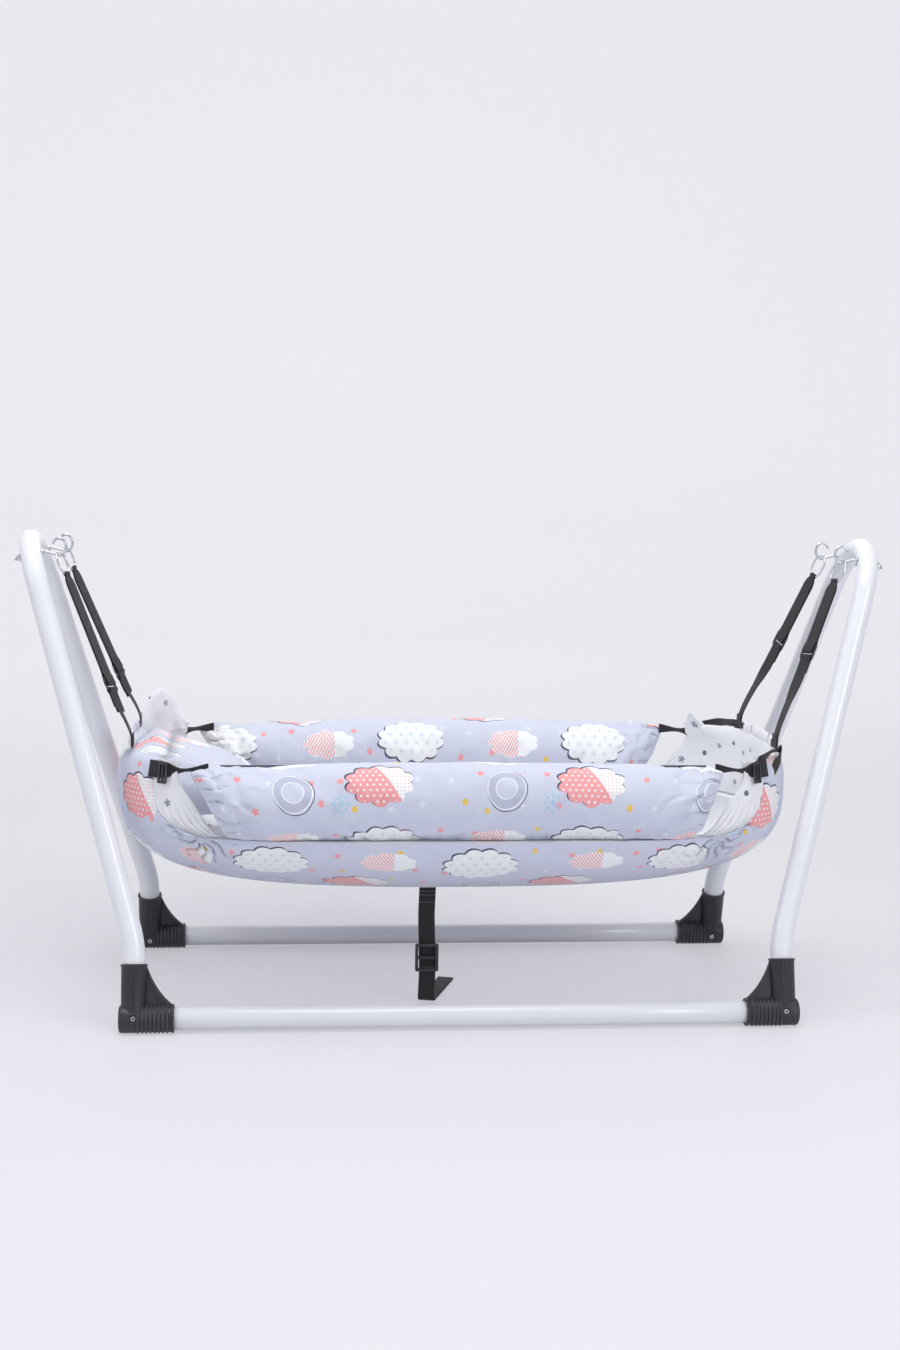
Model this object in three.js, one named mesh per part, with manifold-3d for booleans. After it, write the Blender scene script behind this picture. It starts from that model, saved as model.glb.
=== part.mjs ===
// Hanging baby cradle: a padded cradle that four webbing hangers carry between two bent tube arches.
// Millimetres. +X runs along the cradle, +Y to its back and +Z up. The origin lies on the floor,
// midway between the four feet.

import * as THREE from 'three';
import { mergeVertices } from 'three/addons/utils/BufferGeometryUtils.js';
import Module from 'manifold-3d';

const wasm = await Module();
wasm.setup();

const degree = Math.PI / 180;
const up = new THREE.Vector3(0, 0, 1);
const alongY = new THREE.Vector3(0, 1, 0);

// Clearances that the pieces share
const seatGap = 0.3;
const boreClearance = 0.3;
const cutOverrun = 6;
const weldDistance = 0.001;

// Stand tubes
const tubeDiameter = 32;
const tubeWall = 1.5;
const legSpacing = 942;
const railSpacing = 490;
const railHeight = 19.2;
const legLean = 15 * degree;
const archFlare = 16.2 * degree;
const archBendHeight = 120;
const archBendHalfLength = 25;
const archTopRadius = 87;

// Corner connectors: a sleeve for the rail, an upright sleeve for the leg and a web between them
const sleeveDiameter = 39.6;
const sleeveEdge = 3.5;
const sleeveOuterReach = 21;
const sleeveMouthReach = 57.5;
const mouthRimDiameter = 41;
const mouthRimLength = 3.7;
const uprightReach = 77;
const uprightFootDiameter = 36;
const uprightTopDiameter = 36.8;
const uprightRimDiameter = 39;
const uprightRimLength = 3.2;
const legSeatDepth = 6;
const socketFloor = 2.6;
const webThickness = 5;
const webBowShare = 0.32;
const ribCount = 8;
const ribPitch = 5.9;
const ribDepth = 0.9;
const ridgeWidth = 1.1;
const ridgeHeight = 0.7;
const ridgeSpacing = 4;
const bossDiameter = 14;
const bossHeight = 0.8;

// Connector bolts
const boltShankDiameter = 5;
const boltShankLength = 7;
const boltHeadDiameter = 8.4;
const boltHeadHeight = 2;
const boltSocketDiameter = 3.6;
const boltSocketDepth = 1.1;
const boltRecessDiameter = 11;
const boltRecessDepth = 2.4;

// Hooks that go through the arches
const hookSpacing = 108;
const hookReach = 41;
const hookWireDiameter = 4;
const hookLoopHalfWidth = 10;
const hookLoopHalfHeight = 12.5;
const hookCollarDiameter = 9;
const hookCollarLength = 2;
const hookThreadPast = 3;
const hookNeckShare = 0.6;
const washerDiameter = 13;
const washerThickness = 1.2;
const nutFlatWidth = 8;
const nutHeight = 4;

// Hangers: ring, webbing loop, slider and the webbing below it
const ringWireDiameter = 3;
const ringInnerWidth = 26;
const ringLength = 38;
const webbingWidth = 25;
const webbingThickness = 1.4;
const webbingGatherWidth = 12;
const webbingGatherLength = 16;
const hangerTwist = 18 * degree;
const sliderBar = 3;
const sliderSlot = 6;
const sliderThickness = 2.2;
const sliderCornerRadius = 2.5;
const leftSliderDistance = 204;
const rightSliderDistance = 146;
const sewnTailLength = 24;

// Where the hangers meet the cradle's corner tabs
const tabSpacing = 230;
const tabRise = 8;
const tabTopReach = 11;
const strapEndReach = 10;
const strapUprightReach = 15;
const hingeGap = 0.4;

// Cradle bowl: its plan is a rounded oblong at every height
const bowlLowest = 167;
const bowlWaistHeight = 275;
const bowlWidestHeight = 345;
const bowlRimHeight = 392;
const bowlArchGap = 14.7;
const bowlRimInset = 15;
const bowlWidth = 524;
const bowlRimSquareness = 3.2;
const bowlFloorSquareness = 2.4;
const bowlEndSquareness = 3.3;
const slingThickness = 12;
const slingWeltThickness = 27;

// Bolsters along both sides
const bolsterLength = 730;
const bolsterInset = 32;
const bolsterWidth = 100;
const bolsterDepth = 104;
const bolsterHeight = 327;

// End walls, their lining gussets and the webbing at the corners
const wallInset = 74;
const wallThickness = 22;
const wallEdgeThickness = 9;
const wallCornerDrop = 20;
const hemHeight = 10;
const hemTabWidth = 24;
const hemLanding = 8;
const hemRamp = 16;
const gussetThickness = 7;
const gussetRise = 22;
const gussetPleat = 2.4;
const gussetShares = [0, 0.35, 0.7, 1];
const cornerStrapDrop = 15;
const cornerBuckleHeight = 30;
const cornerBuckleLength = 15;
const cornerBuckleThickness = 2.6;
const cornerBuckleBar = 3;

// Floor pad and head pillow inside the bowl
const padThickness = 18;
const padEdgeThickness = 6;
const pillowDepth = 190;
const pillowEdgeDepth = 12;
const pillowGap = 1;
const pillowCrownShare = 2.4;
const pillowCrownFall = 0.9;

// Fixing strap below the bowl and its buckle
const fixingX = -42;
const fixingY = -102;
const fixingTailX = 0;
const fixingTailY = 25;
const fixingBendRadius = 7;
const fixingThickness = 3;
const fixingBuckleHeight = 69;
const fixingBuckleWidth = 35;
const fixingBuckleLength = 42;
const fixingBuckleThickness = 5;
const fixingBuckleBar = 4.5;

// Facet counts
const tubeSides = 16;
const sleeveSides = 14;
const tubeBoreSides = 8;
const railSides = 20;
const smallSides = 10;
const wireSides = 6;

// Materials
const whitePaint = new THREE.MeshStandardMaterial({ color: 0xeef0f5, roughness: 0.25, metalness: 0.1 });
const blackPlastic = new THREE.MeshStandardMaterial({ color: 0x2b2b31, roughness: 0.55, metalness: 0 });
const zincWire = new THREE.MeshStandardMaterial({ color: 0xc3c8cf, roughness: 0.3, metalness: 0.9 });
const blackWebbing = new THREE.MeshStandardMaterial({ color: 0x1f2023, roughness: 0.85, metalness: 0 });
const printCloth = new THREE.MeshStandardMaterial({ color: 0xc9cbdc, roughness: 0.85, metalness: 0 });
const liningCloth = new THREE.MeshStandardMaterial({ color: 0xeceef2, roughness: 0.85, metalness: 0 });

const cradle = new THREE.Group();

// One closed skin: shared corners merged, empty triangles dropped and faces turned outwards
function closedSkin(geometry) {
  const bare = geometry.clone();
  bare.deleteAttribute('normal');
  bare.deleteAttribute('uv');
  const skin = mergeVertices(bare, weldDistance);
  const corners = skin.index.array;
  const spots = skin.attributes.position;
  const kept = [];
  const a = new THREE.Vector3();
  const b = new THREE.Vector3();
  const c = new THREE.Vector3();
  let volume = 0;
  for (let i = 0; i < corners.length; i += 3) {
    const [p, q, r] = [corners[i], corners[i + 1], corners[i + 2]];
    if (p === q || q === r || r === p) continue;
    kept.push([p, q, r]);
    a.fromBufferAttribute(spots, p);
    b.fromBufferAttribute(spots, q);
    c.fromBufferAttribute(spots, r);
    volume += a.dot(b.cross(c));
  }
  skin.setIndex(kept.flatMap(([p, q, r]) => (volume < 0 ? [p, r, q] : [p, q, r])));
  return skin;
}

function toSolid(geometry) {
  const skin = closedSkin(geometry);
  return new wasm.Manifold(new wasm.Mesh({
    numProp: 3,
    vertProperties: Float32Array.from(skin.attributes.position.array),
    triVerts: Uint32Array.from(skin.index.array),
  }));
}

function fromSolid(solid) {
  const mesh = solid.getMesh();
  const geometry = new THREE.BufferGeometry();
  geometry.setAttribute('position', new THREE.BufferAttribute(mesh.vertProperties, 3));
  geometry.setIndex(new THREE.BufferAttribute(mesh.triVerts, 1));
  return geometry;
}

// The first geometry with the others joined on and the cuts taken away
function joined(geometries, cuts = []) {
  const [first, ...rest] = geometries.map(toSolid);
  const body = rest.reduce((sum, solid) => sum.add(solid), first);
  return fromSolid(cuts.map(toSolid).reduce((sum, solid) => sum.subtract(solid), body));
}

function addPiece(name, geometry, material, place = new THREE.Matrix4()) {
  const mesh = new THREE.Mesh(closedSkin(geometry), material);
  mesh.name = name;
  place.decompose(mesh.position, mesh.quaternion, mesh.scale);
  cradle.add(mesh);
  return mesh;
}

// A path whose rings lie exactly at the given stations, square to the bend there
class StationPath extends THREE.Curve {
  constructor(stations) {
    super();
    this.stations = stations;
  }

  getPoint(t, target = new THREE.Vector3()) {
    const last = this.stations.length - 1;
    const index = Math.min(Math.floor(t * last), last - 1);
    return target.copy(this.stations[index]).lerp(this.stations[index + 1], t * last - index);
  }

  getTangent(t, target = new THREE.Vector3()) {
    const last = this.stations.length - 1;
    const index = Math.round(t * last);
    const here = this.stations[index];
    const before = here.clone().sub(this.stations[Math.max(index - 1, 0)]).normalize();
    const after = this.stations[Math.min(index + 1, last)].clone().sub(here).normalize();
    return target.copy(before).add(after).normalize();
  }

  getUtoTmapping(u) {
    return u;
  }
}

function circleShape(radius, sides) {
  const corners = [];
  for (let i = 0; i < sides; i += 1) {
    const angle = 2 * Math.PI * i / sides;
    corners.push(new THREE.Vector2(radius * Math.cos(angle), radius * Math.sin(angle)));
  }
  return new THREE.Shape(corners);
}

function tubeAlong(stations, radius, sides, boreRadius = 0, boreSides = sides) {
  const section = circleShape(radius, sides);
  if (boreRadius > 0) section.holes.push(circleShape(boreRadius, boreSides));
  return new THREE.ExtrudeGeometry(section, {
    steps: stations.length - 1,
    extrudePath: new StationPath(stations),
  });
}

// A turned piece from [radius, height] pairs, standing along Z
function turned(profile, sides) {
  const points = profile.map(([radius, height]) => new THREE.Vector2(radius, height));
  return new THREE.LatheGeometry(points, sides).rotateX(Math.PI / 2);
}

function rod(radius, from, to, sides) {
  return turned([[0, from], [radius, from], [radius, to], [0, to]], sides);
}

// A cut whose flats clear a round piece of the given radius
function clearRadius(radius, clearance, sides) {
  return (radius + clearance) / Math.cos(Math.PI / sides);
}

// Turns a piece that stands along Z so that it points along another direction
function pointing(geometry, direction) {
  const turn = new THREE.Quaternion().setFromUnitVectors(up, direction.clone().normalize());
  return geometry.applyQuaternion(turn);
}

// A skin through rows of points. Each row is a loop whose second half runs back beside its first,
// and the rows themselves form a loop if asked
function loft(rows, closed = false) {
  const width = rows[0].length;
  const vertices = rows.flat().flatMap((point) => point.toArray());
  const faces = [];
  const rowLinks = closed ? rows.length : rows.length - 1;
  for (let i = 0; i < rowLinks; i += 1) {
    const next = (i + 1) % rows.length;
    for (let j = 0; j < width; j += 1) {
      const side = (j + 1) % width;
      const [p, q] = [i * width + j, i * width + side];
      const [r, s] = [next * width + j, next * width + side];
      faces.push(p, q, s, p, s, r);
    }
  }
  const lastRow = (rows.length - 1) * width;
  for (let j = 0; !closed && j < width / 2 - 1; j += 1) {
    const [p, q, r, s] = [j, j + 1, width - 2 - j, width - 1 - j];
    faces.push(p, r, q, p, s, r);
    faces.push(lastRow + p, lastRow + q, lastRow + r, lastRow + p, lastRow + r, lastRow + s);
  }
  const geometry = new THREE.BufferGeometry();
  geometry.setAttribute('position', new THREE.Float32BufferAttribute(vertices, 3));
  geometry.setIndex(faces);
  return geometry;
}

// Flat webbing through stations { at, across, half }: its faces are square to the path
function ribbon(stations, thickness, closed = false) {
  const count = stations.length;
  const rows = stations.map(({ at, across, half }, i) => {
    const before = closed ? stations[(i + count - 1) % count] : stations[Math.max(i - 1, 0)];
    const after = closed ? stations[(i + 1) % count] : stations[Math.min(i + 1, count - 1)];
    const into = at.clone().sub(before.at).normalize();
    const out = after.at.clone().sub(at).normalize();
    const normal = into.add(out).normalize().cross(across).normalize().multiplyScalar(thickness / 2);
    const side = across.clone().multiplyScalar(half);
    return [
      at.clone().add(side).add(normal),
      at.clone().sub(side).add(normal),
      at.clone().sub(side).sub(normal),
      at.clone().add(side).sub(normal),
    ];
  });
  return loft(rows, closed);
}

// Stand: the legs' line and the arch's plane, from which the stand and the hangers are placed
const tubeRadius = tubeDiameter / 2;
const legX = legSpacing / 2;
const legY = railSpacing / 2;
const leanSlope = Math.tan(legLean);
const flareSlope = Math.tan(archFlare);
const archCentreHeight = railHeight
  + (legY * Math.cos(legLean) - archTopRadius) / Math.sin(legLean);
const sides = [['left', -1], ['right', 1]];
const ends = [['front', -1], ['back', 1]];

// The arch stands straight up to the bend and leans outwards above it
function archX(height) {
  const above = height - archBendHeight;
  if (above <= -archBendHalfLength) return legX;
  if (above >= archBendHalfLength) return legX + flareSlope * above;
  return legX + flareSlope * (above + archBendHalfLength) ** 2 / (4 * archBendHalfLength);
}

function archPoint(side, y, height) {
  return new THREE.Vector3(side * archX(height), y, height);
}

function legPoint(side, end, height) {
  return archPoint(side, end * (legY - (height - railHeight) * leanSlope), height);
}

function archTopPoint(side, angle) {
  const y = archTopRadius * Math.sin(angle);
  return archPoint(side, y, archCentreHeight + archTopRadius * Math.cos(angle));
}

const legFootHeight = railHeight - legSeatDepth * Math.cos(legLean);
const bendShares = [-1, -0.4, 0.4, 1];
const topSteps = 10;

function archStations(side) {
  const leg = [legFootHeight, ...bendShares.map((share) => archBendHeight + share * archBendHalfLength)];
  const half = Math.PI / 2 - legLean;
  const top = [];
  for (let i = 0; i <= topSteps; i += 1) {
    top.push(archTopPoint(side, half * (2 * i / topSteps - 1)));
  }
  return [
    ...leg.map((height) => legPoint(side, -1, height)),
    ...top,
    ...leg.reverse().map((height) => legPoint(side, 1, height)),
  ];
}

// Each connector's frame: x along its rail, z up its leg, y across both
function connectorFrame(side, end) {
  const z = new THREE.Vector3(0, -end * Math.sin(legLean), Math.cos(legLean));
  const x = new THREE.Vector3(-side, 0, 0);
  const frame = new THREE.Matrix4().makeBasis(x, z.clone().cross(x), z);
  return frame.setPosition(side * legX, end * legY, railHeight);
}

// The hooks pass square through the arch's plane at this angle of the top bend
const hookAngle = Math.asin(hookSpacing / 2 / archTopRadius);

function hookFrame(side, end) {
  const z = new THREE.Vector3(side * Math.cos(archFlare), 0, -Math.sin(archFlare));
  const y = alongY;
  const frame = new THREE.Matrix4().makeBasis(y.clone().cross(z), y, z);
  return frame.setPosition(archTopPoint(side, end * hookAngle));
}

function addArch(name, side) {
  const tube = tubeAlong(archStations(side), tubeRadius, tubeSides, tubeRadius - tubeWall, tubeBoreSides);
  const cuts = [];
  for (const [, end] of ends) {
    const hookHole = clearRadius(hookWireDiameter / 2, boreClearance, smallSides);
    const hookReachOut = tubeRadius + cutOverrun;
    cuts.push(rod(hookHole, -hookReachOut, hookReachOut, smallSides).applyMatrix4(hookFrame(side, end)));
    const boltHole = clearRadius(boltShankDiameter / 2, boreClearance, smallSides);
    const boltCut = rod(boltHole, 0, tubeRadius + cutOverrun, smallSides);
    pointing(boltCut, alongY.clone().multiplyScalar(side));
    cuts.push(boltCut.applyMatrix4(connectorFrame(side, end)));
  }
  addPiece(name, joined([tube], cuts), whitePaint);
}

// The rails end just short of the legs, inside the connectors
const railSeat = tubeRadius + boreClearance + socketFloor;

function addRail(name, end) {
  const section = circleShape(tubeRadius, railSides);
  section.holes.push(circleShape(tubeRadius - tubeWall, railSides));
  const length = 2 * (legX - railSeat - seatGap);
  const rail = new THREE.ExtrudeGeometry(section, { depth: length, bevelEnabled: false });
  rail.translate(0, 0, -length / 2).rotateY(Math.PI / 2);
  addPiece(name, rail, whitePaint, new THREE.Matrix4().makeTranslation(0, end * legY, railHeight));
}

// Outside of the rail's sleeve, from its rounded outer end over the ribs to the thicker mouth
function sleeveProfile() {
  const radius = sleeveDiameter / 2;
  const rim = mouthRimDiameter / 2;
  const ribsFrom = sleeveMouthReach - mouthRimLength - ribCount * ribPitch;
  const profile = [
    [0, -sleeveOuterReach],
    [radius - sleeveEdge, -sleeveOuterReach],
    [radius - sleeveEdge / 4, sleeveEdge / 2 - sleeveOuterReach],
    [radius, sleeveEdge - sleeveOuterReach],
    [radius, ribsFrom - ribPitch / 2],
  ];
  for (let i = 0; i < ribCount; i += 1) {
    profile.push([radius - ribDepth, ribsFrom + i * ribPitch]);
    profile.push([radius, ribsFrom + (i + 0.5) * ribPitch]);
  }
  profile.push([radius - ribDepth, sleeveMouthReach - mouthRimLength]);
  profile.push([rim, sleeveMouthReach - mouthRimLength]);
  profile.push([rim, sleeveMouthReach]);
  profile.push([0, sleeveMouthReach]);
  return profile;
}

function uprightProfile() {
  const rim = uprightRimDiameter / 2;
  return [
    [0, 0],
    [uprightFootDiameter / 2, 0],
    [uprightTopDiameter / 2, uprightReach - uprightRimLength],
    [rim, uprightReach - uprightRimLength],
    [rim, uprightReach],
    [0, uprightReach],
  ];
}

// The web's outer edge is a concave arc from under the upright's rim to the mouth's rim
function cornerWeb() {
  const foot = new THREE.Vector2(sleeveMouthReach - mouthRimLength / 2, sleeveDiameter / 2);
  const head = new THREE.Vector2(uprightTopDiameter / 2, uprightReach - uprightRimLength / 2);
  const bow = foot.clone().lerp(head, 1 / 2);
  bow.lerp(new THREE.Vector2(head.x, foot.y), webBowShare);
  const shape = new THREE.Shape();
  shape.moveTo(0, 0);
  shape.lineTo(foot.x, 0);
  shape.lineTo(foot.x, foot.y);
  shape.quadraticCurveTo(bow.x, bow.y, head.x, head.y);
  shape.lineTo(0, head.y);
  const web = new THREE.ExtrudeGeometry(shape, { depth: webThickness, bevelEnabled: false, curveSegments: 7 });
  return web.translate(0, 0, -webThickness / 2).rotateX(Math.PI / 2);
}

function addConnector(name, side, end) {
  const frame = connectorFrame(side, end);
  const outward = alongY.clone().multiplyScalar(side);
  const sleeve = turned(sleeveProfile(), sleeveSides).rotateY(Math.PI / 2);
  const upright = turned(uprightProfile(), sleeveSides);
  const bossReach = sleeveDiameter / 2 + bossHeight;
  const boss = pointing(rod(bossDiameter / 2, 0, bossReach, smallSides), outward);
  const parts = [sleeve, upright, cornerWeb(), boss];
  for (const place of [-0.5, 0.5]) {
    const bottom = bossDiameter / 2;
    const height = uprightReach - uprightRimLength / 2 - bottom;
    const ridgeReach = uprightFootDiameter / 2 + ridgeHeight;
    const ridge = new THREE.BoxGeometry(ridgeWidth, ridgeReach, height);
    ridge.translate(place * ridgeSpacing, side * ridgeReach / 2, bottom + height / 2);
    parts.push(ridge);
  }
  const tubeBore = clearRadius(tubeRadius, boreClearance, sleeveSides);
  const legBore = rod(tubeBore, -legSeatDepth - seatGap, uprightReach + cutOverrun, sleeveSides);
  const railBore = rod(tubeBore, railSeat, sleeveMouthReach + cutOverrun, sleeveSides).rotateY(Math.PI / 2);
  const boltBore = rod(clearRadius(boltShankDiameter / 2, boreClearance, smallSides), 0,
    bossReach + cutOverrun, smallSides);
  const recess = rod(boltRecessDiameter / 2, bossReach - boltRecessDepth, bossReach + cutOverrun, smallSides);
  const below = new THREE.BoxGeometry(4 * sleeveMouthReach, 4 * sleeveDiameter, sleeveDiameter);
  below.translate(0, 0, -sleeveDiameter / 2 - railHeight);
  below.applyQuaternion(new THREE.Quaternion().setFromRotationMatrix(frame).invert());
  const cuts = [legBore, railBore, pointing(boltBore, outward), pointing(recess, outward), below];
  addPiece(name, joined(parts, cuts), blackPlastic, frame);
}

function addBolt(name, side, end) {
  const seat = sleeveDiameter / 2 + bossHeight - boltRecessDepth + seatGap;
  const head = boltHeadDiameter / 2;
  const bolt = turned([
    [0, seat - boltShankLength],
    [boltShankDiameter / 2, seat - boltShankLength],
    [boltShankDiameter / 2, seat],
    [head, seat],
    [head, seat + boltHeadHeight / 2],
    [head - boltHeadHeight / 2, seat + boltHeadHeight],
    [boltSocketDiameter / 2, seat + boltHeadHeight],
    [boltSocketDiameter / 2, seat + boltHeadHeight - boltSocketDepth],
    [0, seat + boltHeadHeight - boltSocketDepth],
  ], smallSides);
  addPiece(name, pointing(bolt, alongY.clone().multiplyScalar(side)), zincWire, connectorFrame(side, end));
}

// The hanger's pivot is the middle of the wire at the lowest point of the hook's loop
function hookPivot(side, end) {
  const pivot = archTopPoint(side, end * hookAngle);
  pivot.x -= side * hookReach;
  return pivot;
}

const nutSeat = tubeRadius + seatGap;
const hookTail = nutSeat + washerThickness + nutHeight + hookThreadPast;
const hookLoopSteps = 9;
const hookLoopTurn = 250 * degree;

function addHook(name, side, end) {
  const frame = hookFrame(side, end);
  const toLocal = frame.clone().invert();
  const pivot = hookPivot(side, end);
  const shoulder = tubeRadius + seatGap + hookCollarLength;
  const collar = rod(hookCollarDiameter / 2, -shoulder, -tubeRadius - seatGap, smallSides);
  const stations = [new THREE.Vector3(0, 0, hookTail), new THREE.Vector3(0, 0, -shoulder)];
  const neck = new THREE.Vector3(0, 0, -shoulder - hookWireDiameter / 2);
  const loopPoint = (turn) => new THREE.Vector3(
    pivot.x - side * hookLoopHalfWidth * Math.sin(turn),
    pivot.y,
    pivot.z + hookLoopHalfHeight * (1 - Math.cos(turn)),
  ).applyMatrix4(toLocal);
  stations.push(neck, neck.clone().lerp(loopPoint(0), hookNeckShare));
  for (let i = 0; i <= hookLoopSteps; i += 1) {
    stations.push(loopPoint(hookLoopTurn * i / hookLoopSteps));
  }
  const wire = tubeAlong(stations, hookWireDiameter / 2, wireSides);
  addPiece(name, joined([wire, collar]), zincWire, frame);
}

function addHookNut(name, side, end) {
  const washer = rod(washerDiameter / 2, nutSeat, nutSeat + washerThickness, smallSides);
  const nutRadius = nutFlatWidth / 2 / Math.cos(Math.PI / 6);
  const nutTop = nutSeat + washerThickness + nutHeight;
  const nut = turned([
    [0, nutSeat],
    [nutRadius, nutSeat],
    [nutRadius, nutTop - nutHeight / 5],
    [nutRadius - nutHeight / 5, nutTop],
    [0, nutTop],
  ], 6);
  const bore = rod(clearRadius(hookWireDiameter / 2, boreClearance, smallSides),
    nutSeat - cutOverrun, nutTop + cutOverrun, smallSides);
  addPiece(name, joined([washer, nut], [bore]), zincWire, hookFrame(side, end));
}

for (const [sideName, side] of sides) addArch(`${sideName}_arch`, side);
for (const [endName, end] of ends) addRail(`${endName}_rail`, end);
for (const [sideName, side] of sides) {
  for (const [endName, end] of ends) {
    const corner = `${endName}_${sideName}`;
    addConnector(`${corner}_connector`, side, end);
    addBolt(`${corner}_bolt`, side, end);
    addHook(`${corner}_hook`, side, end);
    addHookNut(`${corner}_hook_nut`, side, end);
  }
}

// Bowl: the oblong plan at a height, and the point on it at a turn from +X towards +Y
const bowlWidestLength = 2 * (archX(bowlWidestHeight) - tubeRadius / Math.cos(archFlare) - bowlArchGap);
const bowlRimLength = bowlWidestLength - 2 * bowlRimInset;
const bolsterSpacing = bowlWidth - 2 * bolsterInset;
const wallWidth = bowlWidth - 2 * wallInset;
const cornerStrapTop = bowlRimHeight - cornerStrapDrop;
const tabHeight = bowlRimHeight + tabRise;

function bowlPlan(height) {
  const below = Math.max(bowlWaistHeight - height, 0) / (bowlWaistHeight - bowlLowest);
  const fall = Math.max(bowlWidestHeight - height, 0) / (bowlWidestHeight - bowlLowest);
  const rise = Math.max(height - bowlWidestHeight, 0) / (bowlRimHeight - bowlWidestHeight);
  const end = Math.max(1 - fall ** bowlEndSquareness, 0) ** (1 / bowlEndSquareness);
  return {
    halfLength: bowlWidestLength / 2 * end - bowlRimInset * rise ** 2,
    halfWidth: bowlWidth / 2 * Math.sqrt(Math.max(1 - below ** 2, 0)),
    power: 2 / (bowlRimSquareness - (bowlRimSquareness - bowlFloorSquareness) * below),
  };
}

function bowlPoint(turn, height) {
  const { halfLength, halfWidth, power } = bowlPlan(height);
  const [x, y] = [Math.cos(turn), Math.sin(turn)];
  return new THREE.Vector3(
    Math.sign(x) * halfLength * Math.abs(x) ** power,
    Math.sign(y) * halfWidth * Math.abs(y) ** power,
    height,
  );
}

function bowlNormal(turn, height) {
  if (height <= bowlLowest) return up.clone().negate();
  const turnStep = 0.5 * degree;
  const heightStep = (bowlWaistHeight - bowlLowest) / 1000;
  const along = bowlPoint(turn + turnStep, height).sub(bowlPoint(turn - turnStep, height));
  const low = Math.max(height - heightStep, bowlLowest);
  const rise = bowlPoint(turn, low + 2 * heightStep).sub(bowlPoint(turn, low));
  return along.cross(rise).normalize();
}

// The direction straight up the bowl's face
function bowlRise(turn, height) {
  const normal = bowlNormal(turn, height);
  return normal.clone().cross(up.clone().cross(normal)).normalize();
}

// A point that lies inside the bowl's outer face by a depth
function insideBowl(turn, height, depth) {
  return bowlPoint(turn, height).addScaledVector(bowlNormal(turn, height), -depth);
}

// Turns at which the bowl's pieces have their rows: even across the end wall, then round the corner
// and along the side
const rimPower = bowlRimSquareness / 2;
const wallSteps = 6;
const gussetSteps = 6;
const sideSteps = 4;
const wallTurns = [];
for (let i = -wallSteps; i <= wallSteps; i += 1) {
  const share = Math.abs(i) / wallSteps * wallWidth / bowlWidth;
  wallTurns.push(Math.sign(i) * Math.asin(share ** rimPower));
}
const wallTurn = wallTurns[2 * wallSteps];
const bolsterTurn = Math.acos(((bolsterLength / 2 + seatGap) / (bowlRimLength / 2)) ** rimPower);
const quarterTurns = wallTurns.slice(wallSteps);
for (let i = 2; i <= gussetSteps; i += 2) {
  quarterTurns.push(wallTurn + (bolsterTurn - wallTurn) * i / gussetSteps);
}
for (let i = 1; i <= sideSteps; i += 1) {
  const share = (1 - i / sideSteps) * Math.cos(bolsterTurn) ** (1 / rimPower);
  quarterTurns.push(Math.acos(share ** rimPower));
}
const roundTurns = [
  ...quarterTurns,
  ...quarterTurns.slice(0, -1).reverse().map((turn) => Math.PI - turn),
  ...quarterTurns.slice(1).map((turn) => Math.PI + turn),
  ...quarterTurns.slice(1, -1).reverse().map((turn) => 2 * Math.PI - turn),
];

// The sling ends just under the bolsters, and the end walls start there
const seamHeight = bolsterHeight - bolsterDepth / 2 - seatGap;
const slingShares = [0, 0.01, 0.04, 0.11, 0.24, 0.42, 0.66, 1];
const padRings = 5;
const wallShares = [0, 0.1, 0.28, 0.5, 0.72, 0.9, 1];

function slingHeight(share) {
  return bowlLowest + share * (seamHeight - bowlLowest);
}

// The welt under the bolsters is thicker than the rest of the sling
function slingDepth(turn, share) {
  const aside = Math.abs(Math.sin(turn));
  const [from, to] = [Math.sin(wallTurn), Math.sin(bolsterTurn)];
  const welt = THREE.MathUtils.clamp((aside - from) / (to - from), 0, 1);
  return slingThickness + (slingWeltThickness - slingThickness) * welt * share ** 4;
}

function slingInside(turn, share) {
  const point = insideBowl(turn, slingHeight(share), slingDepth(turn, share));
  return point.setZ(Math.min(point.z, seamHeight));
}

function addSling(name) {
  const rows = roundTurns.map((turn) => [
    ...slingShares.map((share) => bowlPoint(turn, slingHeight(share))),
    ...[...slingShares].reverse().map((share) => slingInside(turn, share)),
  ]);
  return addPiece(name, loft(rows, true), printCloth);
}

// The pad's rings are the sling's, so that it lies on the sling all over
function addPad(name) {
  const shares = slingShares.slice(0, padRings);
  const edgeShare = shares[padRings - 1];
  const depth = (share) => padThickness - (padThickness - padEdgeThickness) * (share / edgeShare) ** 2;
  const below = slingThickness + seatGap;
  const rows = roundTurns.map((turn) => [
    ...shares.map((share) => insideBowl(turn, slingHeight(share), below)),
    ...[...shares].reverse().map((share) => insideBowl(turn, slingHeight(share), below + depth(share))),
  ]);
  addPiece(name, loft(rows, true), liningCloth);
}

// End walls are padded: thick in the middle and drawn in along every edge
function rimHeightAt(turn) {
  const y = Math.abs(Math.sin(turn)) ** (1 / rimPower) * bowlWidth;
  return bowlRimHeight - wallCornerDrop * (y / wallWidth) ** 2;
}

function wallHeight(turn, share) {
  const foot = seamHeight + seatGap;
  return foot + share * (rimHeightAt(turn) - foot);
}

function wallDepth(turn, share) {
  const across = Math.abs(turn / wallTurn);
  const crown = (1 - Math.abs(2 * share - 1) ** 3) * (1 - across ** 4);
  return wallEdgeThickness + (wallThickness - wallEdgeThickness) * crown;
}

// Turns measured from +X are mirrored for the left side
function toSide(point, side) {
  return side > 0 ? point : point.setX(-point.x);
}

function addEndWall(name, side) {
  const rows = wallTurns.map((turn) => [
    ...wallShares.map((share) => bowlPoint(turn, wallHeight(turn, share))),
    ...[...wallShares].reverse().map((share) => (
      insideBowl(turn, wallHeight(turn, share), wallDepth(turn, share)))),
  ].map((point) => toSide(point, side)));
  addPiece(name, loft(rows), printCloth);
}

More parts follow.
